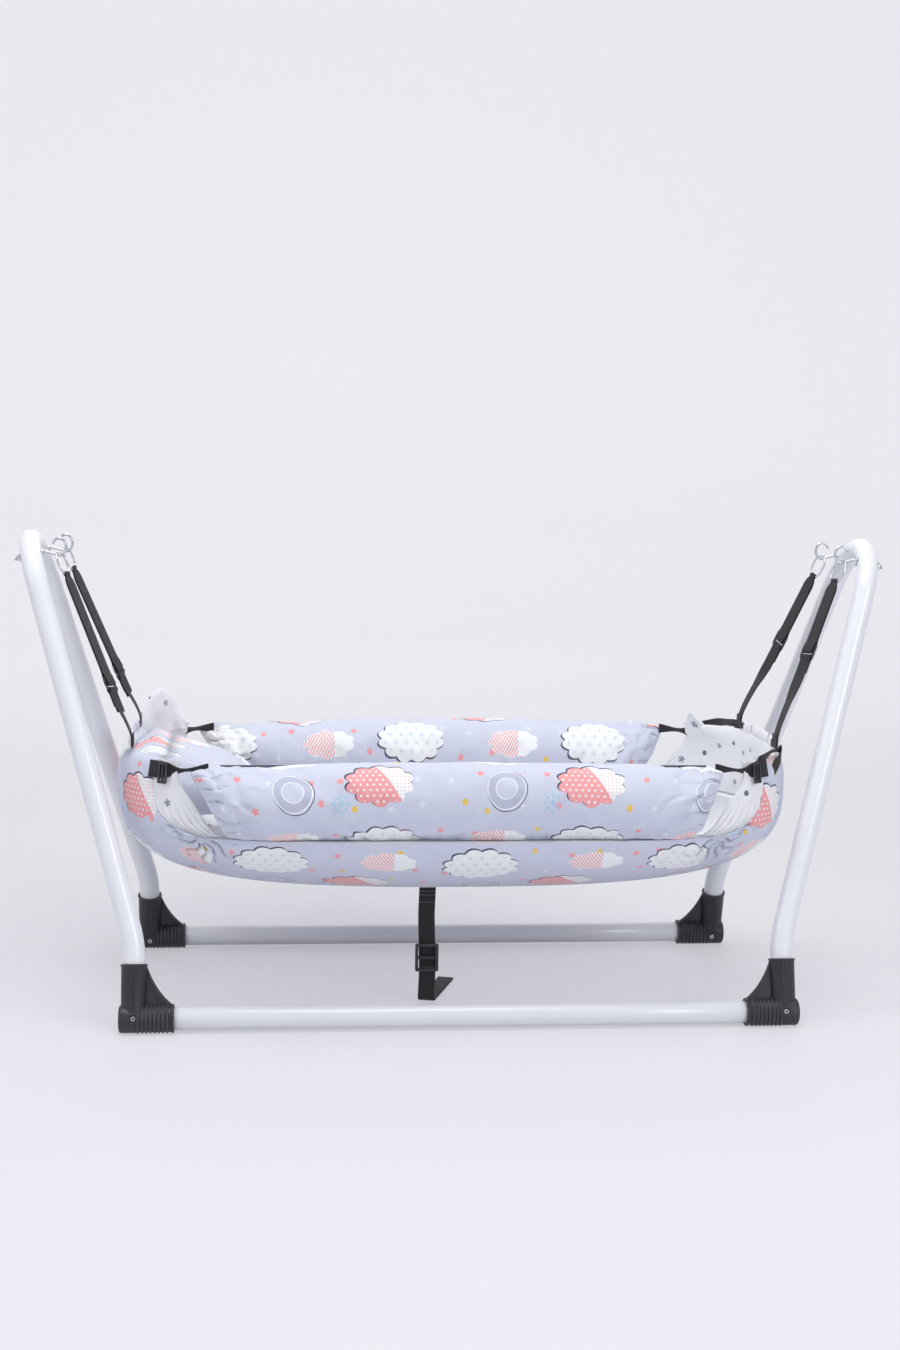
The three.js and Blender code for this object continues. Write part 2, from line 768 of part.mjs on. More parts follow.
// The hem lies along the middle of the wall's top edge
function hemPoint(turn) {
  const height = rimHeightAt(turn);
  return insideBowl(turn, height, wallEdgeThickness / 2);
}

function turnAtY(y) {
  return Math.sign(y) * Math.asin((2 * Math.abs(y) / bowlWidth) ** rimPower);
}

// Hangers: each has a frame at its hook's pivot, z up the webbing and y across it
const webbingHalf = webbingWidth / 2;
const layerHalf = webbingThickness / 2;
const tabX = hemPoint(turnAtY(tabSpacing / 2)).x;

function tabPoint(side, end) {
  return new THREE.Vector3(side * tabX, end * tabSpacing / 2, tabHeight);
}

function hangerFrame(side, end) {
  const pivot = hookPivot(side, end);
  const z = pivot.clone().sub(tabPoint(side, end)).normalize();
  const y = alongY.clone().addScaledVector(z, -alongY.dot(z)).normalize();
  y.applyAxisAngle(z, side * hangerTwist);
  return new THREE.Matrix4().makeBasis(y.clone().cross(z), y, z).setPosition(pivot);
}

// The ring's bar lies on the hook's wire, which runs along X while the hanger leans
const wireCross = (hookWireDiameter + ringWireDiameter) / 2 + seatGap;
const ringHalfWidth = (ringInnerWidth + ringWireDiameter) / 2;
const ringStraight = ringLength - ringInnerWidth - 2 * ringWireDiameter;
const ringSteps = 16;
const ringFacetDrop = ringHalfWidth * (1 - Math.cos(Math.PI / ringSteps));

function ringRise(side, end) {
  const y = new THREE.Vector3();
  const z = new THREE.Vector3();
  hangerFrame(side, end).extractBasis(new THREE.Vector3(), y, z);
  const across = new THREE.Vector3(1, 0, 0).cross(y).normalize();
  return wireCross / Math.abs(z.dot(across)) + ringFacetDrop;
}

function ringBottom(side, end) {
  return ringRise(side, end) - ringStraight - 2 * ringHalfWidth;
}

function addRing(name, side, end) {
  const link = new THREE.TorusGeometry(ringHalfWidth, ringWireDiameter / 2, wireSides, ringSteps);
  link.rotateZ(Math.PI / ringSteps).rotateX(Math.PI / 2).rotateZ(Math.PI / 2);
  const spots = link.attributes.position;
  for (let i = 0; i < spots.count; i += 1) {
    spots.setZ(i, spots.getZ(i) + Math.sign(spots.getZ(i)) * ringStraight / 2);
  }
  link.translate(0, 0, (ringRise(side, end) + ringBottom(side, end)) / 2);
  addPiece(name, link, zincWire, hangerFrame(side, end));
}

// How far from a bar's middle the webbing's middle layer runs
const wrapSteps = 4;
const wrapRadius = (bar) => clearRadius(bar, seatGap, 2 * wrapSteps) + layerHalf;
const ringWrap = wrapRadius(ringWireDiameter / 2);
const sliderPitch = sliderBar + sliderSlot;
const barWrap = wrapRadius(Math.hypot(sliderBar, sliderThickness) / 2);
const layersApart = layerHalf + seatGap / 2;

function sliderDistance(side) {
  return side < 0 ? leftSliderDistance : rightSliderDistance;
}

function inHanger(x, z, half) {
  return { at: new THREE.Vector3(x, 0, z), across: alongY.clone(), half };
}

// Half a turn round a bar at height z, over it or under it
function wrapRound(z, radius, half, over) {
  const stations = [];
  for (let i = 0; i <= wrapSteps; i += 1) {
    const angle = Math.PI * i / wrapSteps;
    const x = over * radius * Math.cos(angle);
    stations.push(inHanger(x, z + over * radius * Math.sin(angle), half));
  }
  return stations;
}

function addUpperStrap(name, side, end) {
  const gatherHalf = webbingGatherWidth / 2;
  const ringRound = ringHalfWidth - Math.sqrt(ringHalfWidth ** 2 - gatherHalf ** 2);
  const top = ringBottom(side, end) + ringRound;
  const middleBar = -sliderDistance(side);
  const straddle = sliderThickness / 2 + seatGap + layerHalf;
  const topBar = middleBar + sliderPitch;
  const down = [
    [layersApart, top - webbingGatherLength, webbingHalf],
    [layersApart, topBar + 2 * sliderBar + sliderSlot, webbingHalf],
    [straddle, topBar + sliderBar, webbingHalf],
  ];
  const stations = [
    ...wrapRound(top, ringWrap, gatherHalf, 1),
    ...down.map(([x, z, half]) => inHanger(-x, z, half)),
    ...wrapRound(middleBar, barWrap, webbingHalf, -1),
    ...[...down].reverse().map(([x, z, half]) => inHanger(x, z, half)),
  ];
  addPiece(name, ribbon(stations, webbingThickness, true), blackWebbing, hangerFrame(side, end));
}

// A plate's outline with corners rounded by an arc where a radius is given
function roundedPlate(halfWidth, halfHeight, radius, middle = 0) {
  const shape = new THREE.Shape();
  for (const [sx, sy, turn] of [[1, 1, 0], [-1, 1, 1], [-1, -1, 2], [1, -1, 3]]) {
    const x = sx * (halfWidth - radius);
    const y = middle + sy * (halfHeight - radius);
    if (radius > 0) shape.absarc(x, y, radius, turn * Math.PI / 2, (turn + 1) * Math.PI / 2);
    else if (turn === 0) shape.moveTo(x, y);
    else shape.lineTo(x, y);
  }
  return shape;
}

// A strap adjuster: three bars along X between two sides, with a slot on each side of the middle bar
function threeBarPlate(width, length, bar, corner, thickness) {
  const outline = roundedPlate(width / 2, length / 2, corner);
  const slotHalf = (length - 3 * bar) / 4;
  for (const place of [-1, 1]) {
    outline.holes.push(roundedPlate(width / 2 - bar, slotHalf, 0, place * (slotHalf + bar / 2)));
  }
  return new THREE.ExtrudeGeometry(outline, { depth: thickness, bevelEnabled: false, curveSegments: 2 });
}

function addSlider(name, side, end) {
  const width = webbingWidth + 2 * (seatGap + sliderBar);
  const length = 3 * sliderBar + 2 * sliderSlot;
  const plate = threeBarPlate(width, length, sliderBar, sliderCornerRadius, sliderThickness);
  plate.translate(0, 0, -sliderThickness / 2).rotateX(Math.PI / 2).rotateZ(Math.PI / 2);
  plate.translate(0, 0, -sliderDistance(side));
  addPiece(name, plate, blackPlastic, hangerFrame(side, end));
}

// Single webbing, sewn back on itself under the slider, hanging straight beside the cradle's tab
const strapPlane = tabX + hingeGap / 2 + layerHalf;
const tongueShares = [[1, 1], [0.45, 0.9], [0, 0.5]];

function addLowerStrap(name, side, end) {
  const frame = hangerFrame(side, end);
  const toLocal = frame.clone().invert();
  const bar = -sliderDistance(side) - sliderPitch;
  const tailFrom = bar - barWrap - sewnTailLength;
  const meet = bar - 2 * barWrap;
  const tailX = side * (webbingThickness + seatGap);
  const wrap = wrapRound(bar, barWrap, webbingHalf, 1);
  const stations = [
    inHanger(tailX, tailFrom, webbingHalf),
    inHanger(tailX, meet, webbingHalf),
    ...(side < 0 ? wrap.reverse() : wrap),
    inHanger(0, meet, webbingHalf),
  ];
  const tab = tabPoint(side, end);
  const across = alongY.clone().transformDirection(toLocal);
  const place = (height, half) => ({
    at: new THREE.Vector3(side * strapPlane, tab.y, height).applyMatrix4(toLocal),
    across,
    half,
  });
  stations.push(place(tab.z + strapUprightReach, webbingHalf));
  for (const [reachShare, widthShare] of tongueShares) {
    const height = tab.z - strapEndReach * (1 - reachShare);
    stations.push(place(height, widthShare * webbingHalf));
  }
  addPiece(name, ribbon(stations, webbingThickness), blackWebbing, frame);
}

for (const [sideName, side] of sides) {
  for (const [endName, end] of ends) {
    const corner = `${endName}_${sideName}`;
    addRing(`${corner}_ring`, side, end);
    addUpperStrap(`${corner}_upper_strap`, side, end);
    addSlider(`${corner}_slider`, side, end);
    addLowerStrap(`${corner}_lower_strap`, side, end);
  }
}

// The hem's webbing stands on the wall's edge and ends in the two tabs that the hangers carry.
// Each tab's outer corner falls away
const hemTabShares = [[-1, 0], [-0.5, 0], [0.5, 0], [1, 0.3]];

function addHem(name, side) {
  const tabHalf = hemTabWidth / 2;
  const tabPlane = tabX - hingeGap / 2 - layerHalf;
  const tabInner = tabSpacing / 2 - tabHalf;
  const hemSteps = 3;
  const half = [];
  for (let i = 0; i <= hemSteps; i += 1) {
    const y = i / hemSteps * (tabInner - hemLanding - hemRamp);
    const spot = hemPoint(turnAtY(y));
    half.push([spot.x, y, spot.z + wallEdgeThickness / 8, hemHeight]);
  }
  const tabFoot = half[hemSteps][2];
  const tabTop = tabHeight + tabTopReach;
  half.push([tabPlane, tabInner - hemLanding, tabFoot, hemHeight]);
  for (const [share, fall] of hemTabShares) {
    const height = tabTop - tabFoot - fall * tabTopReach;
    half.push([tabPlane, tabSpacing / 2 + share * tabHalf, tabFoot, height]);
  }
  const mirrored = half.slice(1).reverse().map(([x, y, foot, height]) => [x, -y, foot, height]);
  const stations = [...mirrored, ...half].map(([x, y, foot, height]) => ({
    at: new THREE.Vector3(side * x, y, foot + height / 2),
    across: up.clone(),
    half: height / 2,
  }));
  addPiece(name, ribbon(stations, webbingThickness), blackWebbing);
}

// A bolster swells between its drawn-in ends
const bolsterShares = [[1, 0.3], [0.985, 0.62], [0.94, 0.85], [0.84, 0.96], [0.55, 1], [0.18, 0.985]];
const bolsterSides = 18;

function addBolster(name, end) {
  const shares = [
    ...bolsterShares.map(([share, girth]) => [-share, girth]),
    ...[...bolsterShares].reverse(),
  ];
  const rows = shares.map(([share, girth]) => {
    const row = [];
    for (let i = 0; i < bolsterSides; i += 1) {
      const angle = 2 * Math.PI * (i + 0.5) / bolsterSides;
      const y = end * bolsterSpacing / 2 + girth * bolsterWidth / 2 * Math.cos(angle);
      const z = bolsterHeight + girth * bolsterDepth / 2 * Math.sin(angle);
      row.push(new THREE.Vector3(share * bolsterLength / 2, y, z));
    }
    return row;
  });
  addPiece(name, loft(rows), printCloth);
}

// Lining gathered in pleats between an end wall's edge and a bolster's end
function cornerTurns(steps) {
  const gap = seatGap / (bowlRimLength / 4);
  const turns = [];
  for (let i = 0; i <= steps; i += 1) {
    turns.push(wallTurn + gap + (bolsterTurn - wallTurn - gap) * i / steps);
  }
  return turns;
}

function addGusset(name, side, end) {
  const foot = seamHeight + wallEdgeThickness / 3;
  const rows = cornerTurns(gussetSteps).map((turn, i) => {
    const pleat = i % 2 ? gussetPleat : 0;
    const top = rimHeightAt(wallTurn) + gussetRise * Math.sin(Math.PI * i / gussetSteps);
    const heights = gussetShares.map((share) => foot + share * (top - foot));
    const depth = wallEdgeThickness / 8 + pleat;
    return [
      ...heights.map((height) => insideBowl(turn, height, depth)),
      ...[...heights].reverse().map((height) => insideBowl(turn, height, depth + gussetThickness)),
    ].map((point) => toSide(point, side).setY(end * point.y));
  });
  addPiece(name, loft(rows), liningCloth);
}

// Webbing that closes the corner, laid round the outside of the gusset
const cornerStrapSteps = 3;
const cornerStrapMiddle = cornerStrapTop - webbingHalf;

function toCorner(point, side, end) {
  return point.multiply(new THREE.Vector3(side, end, 1));
}

function addCornerStrap(name, side, end) {
  const stations = cornerTurns(cornerStrapSteps).map((turn) => ({
    at: toCorner(insideBowl(turn, cornerStrapMiddle, -seatGap - layerHalf), side, end),
    across: toCorner(bowlRise(turn, cornerStrapMiddle), side, end),
    half: webbingHalf,
  }));
  addPiece(name, ribbon(stations, webbingThickness), blackWebbing);
}

function addCornerBuckle(name, side, end) {
  const turns = cornerTurns(cornerStrapSteps);
  const outset = seatGap + webbingThickness + seatGap;
  const [from, to] = turns.slice(0, 2).map((turn) => (
    toCorner(insideBowl(turn, cornerStrapMiddle, -outset), side, end)));
  const along = to.clone().sub(from).normalize();
  const plate = threeBarPlate(cornerBuckleHeight, cornerBuckleLength, cornerBuckleBar,
    cornerBuckleBar / 2, cornerBuckleThickness);
  const rise = toCorner(bowlRise((turns[0] + turns[1]) / 2, cornerStrapMiddle), side, end);
  const outward = along.cross(rise).normalize();
  if (outward.x * side < 0) outward.negate();
  const frame = new THREE.Matrix4().makeBasis(rise, outward.clone().cross(rise), outward);
  addPiece(name, plate, blackPlastic, frame.setPosition(from.lerp(to, 0.5)));
}

// The head pillow lies against the left end wall's padding and bulges into the bowl
const pillowShares = wallShares.slice(1, -1);

function addPillow(name) {
  const turns = wallTurns.slice(1, -1);
  const rows = turns.map((turn) => {
    const back = pillowShares.map((share) => (
      insideBowl(turn, wallHeight(turn, share), wallDepth(turn, share) + pillowGap)));
    const front = back.map((point, i) => {
      const share = (i + 0.5) / pillowShares.length;
      const across = Math.abs(turn / turns[0]);
      const rise = Math.sqrt(share) * (1 - share) ** pillowCrownFall;
      const crown = pillowCrownShare * rise * (1 - across ** 3);
      return point.clone().setX(point.x - pillowEdgeDepth - (pillowDepth - pillowEdgeDepth) * crown);
    });
    return [...back, ...front.reverse()].map((point) => toSide(point, -1));
  });
  addPiece(name, loft(rows), printCloth);
}

// Doubled webbing that hangs from the sling, bends and lies along the floor
const floorClearance = 0.2;

function addFixingStrap(name, sling) {
  sling.updateMatrixWorld(true);
  const corners = [[-1, -1], [-1, 1], [1, -1], [1, 1]].map(([x, y]) => {
    const start = new THREE.Vector3(fixingX + x * webbingHalf, fixingY + y * fixingThickness / 2, 0);
    return new THREE.Raycaster(start, up).intersectObject(sling)[0].point.z;
  });
  const top = Math.min(...corners) - seatGap;
  const toTail = new THREE.Vector3(fixingTailX - fixingX, fixingTailY - fixingY, 0).normalize();
  const centre = new THREE.Vector3(fixingX, fixingY, fixingBendRadius + fixingThickness / 2 + floorClearance);
  centre.addScaledVector(toTail, fixingBendRadius);
  const hanging = new THREE.Vector3(1, 0, 0);
  const lying = toTail.clone().cross(up);
  const bendSteps = 4;
  const stations = [{ at: new THREE.Vector3(fixingX, fixingY, top), across: hanging, half: webbingHalf }];
  for (let i = 0; i <= bendSteps; i += 1) {
    const angle = Math.PI / 2 * i / bendSteps;
    const at = centre.clone().addScaledVector(toTail, -fixingBendRadius * Math.cos(angle));
    at.addScaledVector(up, -fixingBendRadius * Math.sin(angle));
    const across = hanging.clone().lerp(lying, i / bendSteps).normalize();
    stations.push({ at, across, half: webbingHalf });
  }
  const floor = fixingThickness / 2 + floorClearance;
  stations.push({ at: new THREE.Vector3(fixingTailX, fixingTailY, floor), across: lying, half: webbingHalf });
  addPiece(name, ribbon(stations, fixingThickness), blackWebbing);
}

function addFixingBuckle(name) {
  const plate = threeBarPlate(fixingBuckleWidth, fixingBuckleLength, fixingBuckleBar,
    fixingBuckleBar / 2, fixingBuckleThickness);
  plate.rotateX(Math.PI / 2);
  const front = fixingY - fixingThickness / 2 - seatGap;
  addPiece(name, plate, blackPlastic, new THREE.Matrix4().makeTranslation(fixingX, front, fixingBuckleHeight));
}

const sling = addSling('sling_body');
addPad('mattress_pad');
addPillow('head_pillow');
for (const [endName, end] of ends) addBolster(`${endName}_bolster`, end);
for (const [sideName, side] of sides) {
  addEndWall(`${sideName}_end_wall`, side);
  addHem(`${sideName}_hem_webbing`, side);
  for (const [endName, end] of ends) {
    const corner = `${endName}_${sideName}`;
    addGusset(`${corner}_gusset`, side, end);
    addCornerStrap(`${corner}_corner_strap`, side, end);
    addCornerBuckle(`${corner}_corner_buckle`, side, end);
  }
}
addFixingStrap('fixing_strap', sling);
addFixingBuckle('fixing_buckle');

export default cradle;
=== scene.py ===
import math

import bmesh
import bpy
import numpy as np
from mathutils import Matrix, Vector, noise


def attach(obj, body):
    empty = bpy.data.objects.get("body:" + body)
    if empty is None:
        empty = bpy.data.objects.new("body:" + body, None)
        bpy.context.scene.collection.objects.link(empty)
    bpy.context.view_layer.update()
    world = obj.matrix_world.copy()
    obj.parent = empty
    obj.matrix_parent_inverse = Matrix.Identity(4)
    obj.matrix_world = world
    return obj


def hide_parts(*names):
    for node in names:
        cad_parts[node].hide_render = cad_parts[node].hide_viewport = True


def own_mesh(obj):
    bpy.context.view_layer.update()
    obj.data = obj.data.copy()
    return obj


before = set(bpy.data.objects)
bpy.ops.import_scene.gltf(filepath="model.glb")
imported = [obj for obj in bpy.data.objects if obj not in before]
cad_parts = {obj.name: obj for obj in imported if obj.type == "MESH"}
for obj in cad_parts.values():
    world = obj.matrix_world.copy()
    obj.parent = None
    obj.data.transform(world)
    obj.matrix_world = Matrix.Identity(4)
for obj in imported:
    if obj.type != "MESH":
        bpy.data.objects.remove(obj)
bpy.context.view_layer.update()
mm = 0.001
along_x, along_y, up = Vector((1, 0, 0)), Vector((0, 1, 0)), Vector((0, 0, 1))
sides, ends = {"left": -1, "right": 1}, {"front": -1, "back": 1}


def linear(red, green, blue):
    """A colour, given as it looks on screen, in the linear values that shaders take."""
    shares = [value / 255 for value in (red, green, blue)]
    return tuple(s / 12.92 if s <= 0.04045 else ((s + 0.055) / 1.055) ** 2.4 for s in shares) + (1,)


def framed(place, x, y, z):
    """The frame that stands at a place, from its three axes."""
    return Matrix.Translation(place) @ Matrix((x, y, z)).transposed().to_4x4()


def show(name, data):
    made = bpy.data.objects.new(name, data)
    bpy.context.scene.collection.objects.link(made)
    return made


# Camera, floor and light

def add_camera():
    yaw, pitch, roll = math.radians(-5.57), math.radians(6.578), math.radians(0.906)
    ahead = Vector((-math.sin(yaw) * math.cos(pitch), math.cos(yaw) * math.cos(pitch), -math.sin(pitch)))
    right = Vector((math.cos(yaw), math.sin(yaw), 0))
    above = right.cross(ahead)
    lens = bpy.data.cameras.new("camera")
    lens.sensor_fit, lens.sensor_height, lens.sensor_width = "VERTICAL", 36, 24
    lens.lens, lens.clip_end = 54.667, 60
    camera = show("camera", lens)
    camera.matrix_world = framed(Vector((-306.6, -3110.5, 845.0)) * mm,
                                 math.cos(roll) * right + math.sin(roll) * above,
                                 math.cos(roll) * above - math.sin(roll) * right, -ahead)
    bpy.context.scene.camera = camera


def add_lamp(name, place, aim, size, power):
    lamp = bpy.data.lights.new(name, "AREA")
    lamp.shape, lamp.energy = "RECTANGLE", power
    lamp.size, lamp.size_y = size
    holder = show(name, lamp)
    holder.location = place
    holder.rotation_euler = (Vector(aim) - Vector(place)).to_track_quat("-Z", "Y").to_euler()


def studio_paper():
    """Paper that keeps its tones for the camera, with a painted shadow under the cradle and painted shading
    from front to back, and is clear from behind.
    """
    finish = Finish("studio_paper", "Object", 0.5)
    tree = finish.tree
    x, y = plane_fields(tree, finish.place)
    depth = add_node(tree, "ShaderNodeMapRange", {"Value": y, "From Min": -2.6, "From Max": 5.2})
    tones = add_node(tree, "ShaderNodeValToRGB", {"Fac": depth.outputs["Result"]})
    ramp = tones.color_ramp
    ramp.interpolation = "B_SPLINE"
    # painted shading: the tones darken towards the middle of the floor and lighten up the back of the sweep
    first, *steps, last = [(0.0, 232, 231, 238), (0.22, 232, 231, 238), (0.31, 225, 225, 231),
                           (0.46, 223, 223, 228), (0.62, 229, 229, 234), (0.8, 248, 247, 252),
                           (1.0, 251, 250, 255)]
    ramp.elements[0].color, ramp.elements[1].color = linear(*first[1:]), linear(*last[1:])
    for place, *tone in steps:
        ramp.elements.new(place).color = linear(*tone)
    # painted shadow: a soft grey patch on the floor under the cradle
    spread = ((x + 0.17) / 0.5).squared() + ((y - 0.36) / 0.42).squared()
    painted_shadow = (spread * -1).math("EXPONENT") * 0.42
    tone = painted(tree, tones.outputs["Color"], (linear(170, 169, 178), painted_shadow))
    finish.set(Base_Color=tone)
    glow = add_node(tree, "ShaderNodeEmission", {"Color": tone})
    rays = add_node(tree, "ShaderNodeLightPath").outputs
    seen = Field(tree, rays["Is Camera Ray"]).math("MAXIMUM", Field(tree, rays["Is Glossy Ray"]))
    layers = {0: seen * 0.6, 1: finish.shader.outputs[0], 2: glow.outputs[0]}
    lit = add_node(tree, "ShaderNodeMixShader", layers)
    behind = add_node(tree, "ShaderNodeNewGeometry").outputs["Backfacing"]
    clear = add_node(tree, "ShaderNodeBsdfTransparent")
    faced = add_node(tree, "ShaderNodeMixShader", {0: behind, 1: lit.outputs[0], 2: clear.outputs[0]})
    feed(tree, tree.nodes["Material Output"].inputs["Surface"], faced.outputs[0])
    return finish.made


def add_studio():
    """A pale sweep that runs up behind, broad lamps and an even sky."""
    slopes = [(-9, 0), (3.4, 0), (4.2, 0.12), (4.8, 0.5), (5.1, 1.2), (5.2, 6)]
    rows = [[(-12, y, z), (12, y, z)] for y, z in slopes]
    verts, faces, *_ = skin(rows, None, wrap_points=False, capped=False)
    sweep = bpy.data.meshes.new("studio_sweep")
    sweep.from_pydata(verts, [], faces)
    sweep.polygons.foreach_set("use_smooth", [True] * len(faces))
    sweep.materials.append(studio_paper())
    show("studio_sweep", sweep)
    world = bpy.data.worlds.new("studio_sky")
    world.use_nodes = True
    sky = world.node_tree.nodes["Background"].inputs
    sky["Color"].default_value, sky["Strength"].default_value = (0.93, 0.94, 1, 1), 0.55
    bpy.context.scene.world = world
    add_lamp("lamp_above", (-0.3, -0.5, 3.2), (0, 0, 0.2), (2.2, 1.6), 58)
    add_lamp("lamp_front_right", (2.4, -3.2, 1.9), (0.1, 0, 0.3), (1.2, 1.4), 34)
    add_lamp("lamp_left", (-3.2, -1.4, 1.9), (0, 0, 0.35), (1.2, 1.6), 14)
    add_lamp("lamp_back", (0.4, 3.0, 2.4), (0, 0, 0.4), (2.4, 1.2), 14)
    bpy.context.scene.view_settings.view_transform = "Standard"


# Node trees: nodes made in one call, and values that sum, multiply and compare like numbers

def feed(tree, port, value):
    """Sets an input to a value, or links a field or a socket to it."""
    if isinstance(value, Field):
        value = value.socket
    if isinstance(value, bpy.types.NodeSocket):
        tree.links.new(value, port)
    else:
        port.default_value = value


def add_node(tree, kind, inputs=None, **settings):
    made = tree.nodes.new(kind)
    for name, value in settings.items():
        setattr(made, name, value)
    for port, value in (inputs or {}).items():
        feed(tree, made.inputs[port], value)
    return made


class Field:
    def __init__(self, tree, socket):
        self.tree, self.socket = tree, socket

    def math(self, operation, *others):
        node = add_node(self.tree, "ShaderNodeMath", dict(enumerate((self,) + others)), operation=operation)
        return Field(self.tree, node.outputs[0])

    def repeat(self, period):
        """The offset from the middle of the repeat that the value is in."""
        return self.math("FLOORED_MODULO", period) - period / 2

    def squared(self):
        return self * self

    def near(self, middle, reach):
        return (self - middle).math("ABSOLUTE") < reach


for sign, operation in {"__add__": "ADD", "__sub__": "SUBTRACT", "__mul__": "MULTIPLY",
                        "__truediv__": "DIVIDE", "__lt__": "LESS_THAN", "__gt__": "GREATER_THAN"}.items():
    setattr(Field, sign, lambda self, other, operation=operation: self.math(operation, other))


def length(x, y):
    return (x.squared() + y.squared()).math("SQRT")


def plane_fields(tree, vector):
    parts = add_node(tree, "ShaderNodeSeparateXYZ", {0: vector}).outputs
    return Field(tree, parts["X"]), Field(tree, parts["Y"])


def mixed(tree, first, second, share, blend="MIX"):
    mix = add_node(tree, "ShaderNodeMix", {"Factor": share}, data_type="RGBA", blend_type=blend)
    for port, value in zip([port for port in mix.inputs if port.type == "RGBA"], (first, second)):
        feed(tree, port, value)
    return [port for port in mix.outputs if port.type == "RGBA"][0]


def painted(tree, colour, *layers):
    """A colour under layers, each given as its colour and the mask that is 1 where it covers."""
    for over, mask in layers:
        colour = mixed(tree, colour, over, mask)
    return colour


def noise_value(tree, vector, scale, detail=2):
    inputs = {"Vector": vector, "Scale": scale, "Detail": detail}
    return Field(tree, add_node(tree, "ShaderNodeTexNoise", inputs).outputs["Fac"])


socket_kinds = {int: "Int", float: "Float", tuple: "Vector"}


def new_tree(name, kind, inputs, outputs):
    """An empty tree with its inputs, given as a socket's kind or as a first value, and its outputs' kinds."""
    tree = bpy.data.node_groups.new(name, kind)
    for socket, value in inputs.items():
        named = value if isinstance(value, str) else socket_kinds[type(value)]
        made = tree.interface.new_socket(socket, in_out="INPUT", socket_type="NodeSocket" + named)
        if named != value:
            made.default_value = value
    for socket, named in outputs.items():
        tree.interface.new_socket(socket, in_out="OUTPUT", socket_type="NodeSocket" + named)
    return tree, tree.nodes.new("NodeGroupInput").outputs, tree.nodes.new("NodeGroupOutput")


def effect(name, build, kinds, **inputs):
    """A shared effect as a group: build makes its outputs from the tree and its inputs."""
    inputs = {"Vector": "Vector"} | {socket.replace("_", " "): value for socket, value in inputs.items()}
    tree, into, out = new_tree(name, "ShaderNodeTree", inputs, kinds)
    for socket, value in build(tree, into).items():
        feed(tree, out.inputs[socket], value)
    return tree


def weave(tree, into):
    """Plain weave: its height, and a shade that varies from thread to thread."""
    u, v = plane_fields(tree, into["Vector"])
    pitch = Field(tree, into["Threads"])
    crossing = (u / pitch * math.pi).math("SINE") * (v / pitch * math.pi).math("SINE")
    inputs = {0: into["Vector"], 1: (520, 42, 1)}
    stretch = add_node(tree, "ShaderNodeVectorMath", inputs, operation="MULTIPLY")
    slub = noise_value(tree, stretch.outputs[0], 1, 3)
    soft = noise_value(tree, into["Vector"], 26)
    return {"Height": crossing * 0.5 + slub * 0.6 + soft * 2, "Shade": slub * 0.10 + soft * 0.08 + 0.91}


def grain(tree, into):
    """The fine unevenness of paint, plate and moulded plastic."""
    least, most = Field(tree, into["Least Roughness"]), Field(tree, into["Most Roughness"])
    smudge = noise_value(tree, into["Vector"], 17, 3)
    return {"Height": noise_value(tree, into["Vector"], into["Scale"]),
            "Roughness": least + (most - least) * smudge}


def edge_wear(tree, into):
    """A mask of the corners that hands and floors rub."""
    sharp = Field(tree, add_node(tree, "ShaderNodeNewGeometry").outputs["Pointiness"])
    rough = noise_value(tree, into["Vector"], 90, 3)
    edge = ((sharp - 0.52) * 9).math("MAXIMUM", 0).math("MINIMUM", 1)
    return {"Mask": (edge * rough * 1.6 * Field(tree, into["Amount"])).math("MINIMUM", 1)}


# The print: scalloped medallions, rings and small marks on a grey-lilac ground

ground, print_white, coral = linear(207, 211, 228), linear(243, 245, 246), linear(240, 163, 165)
pale_blue, navy, yellow = linear(168, 203, 228), linear(74, 78, 104), linear(238, 202, 96)
print_width = 0.296


def scalloped(x, y, half_width, half_height, lobes, depth):
    """Below 1 inside a scalloped oval and above 1 outside it."""
    across, upright = x / half_width, y / half_height
    lobe = (upright.math("ARCTAN2", across) * (lobes / 2)).math("SINE").math("ABSOLUTE")
    return length(across, upright) / (lobe * depth + (1 - depth))


def asterisk(x, y, reach, arms):
    """Inside thin arms that meet at the origin."""
    beside = (y.math("ARCTAN2", x) * (arms / 2)).math("SINE").math("ABSOLUTE") * length(x, y)
    return (beside < reach * 0.16) * (length(x, y) < reach)


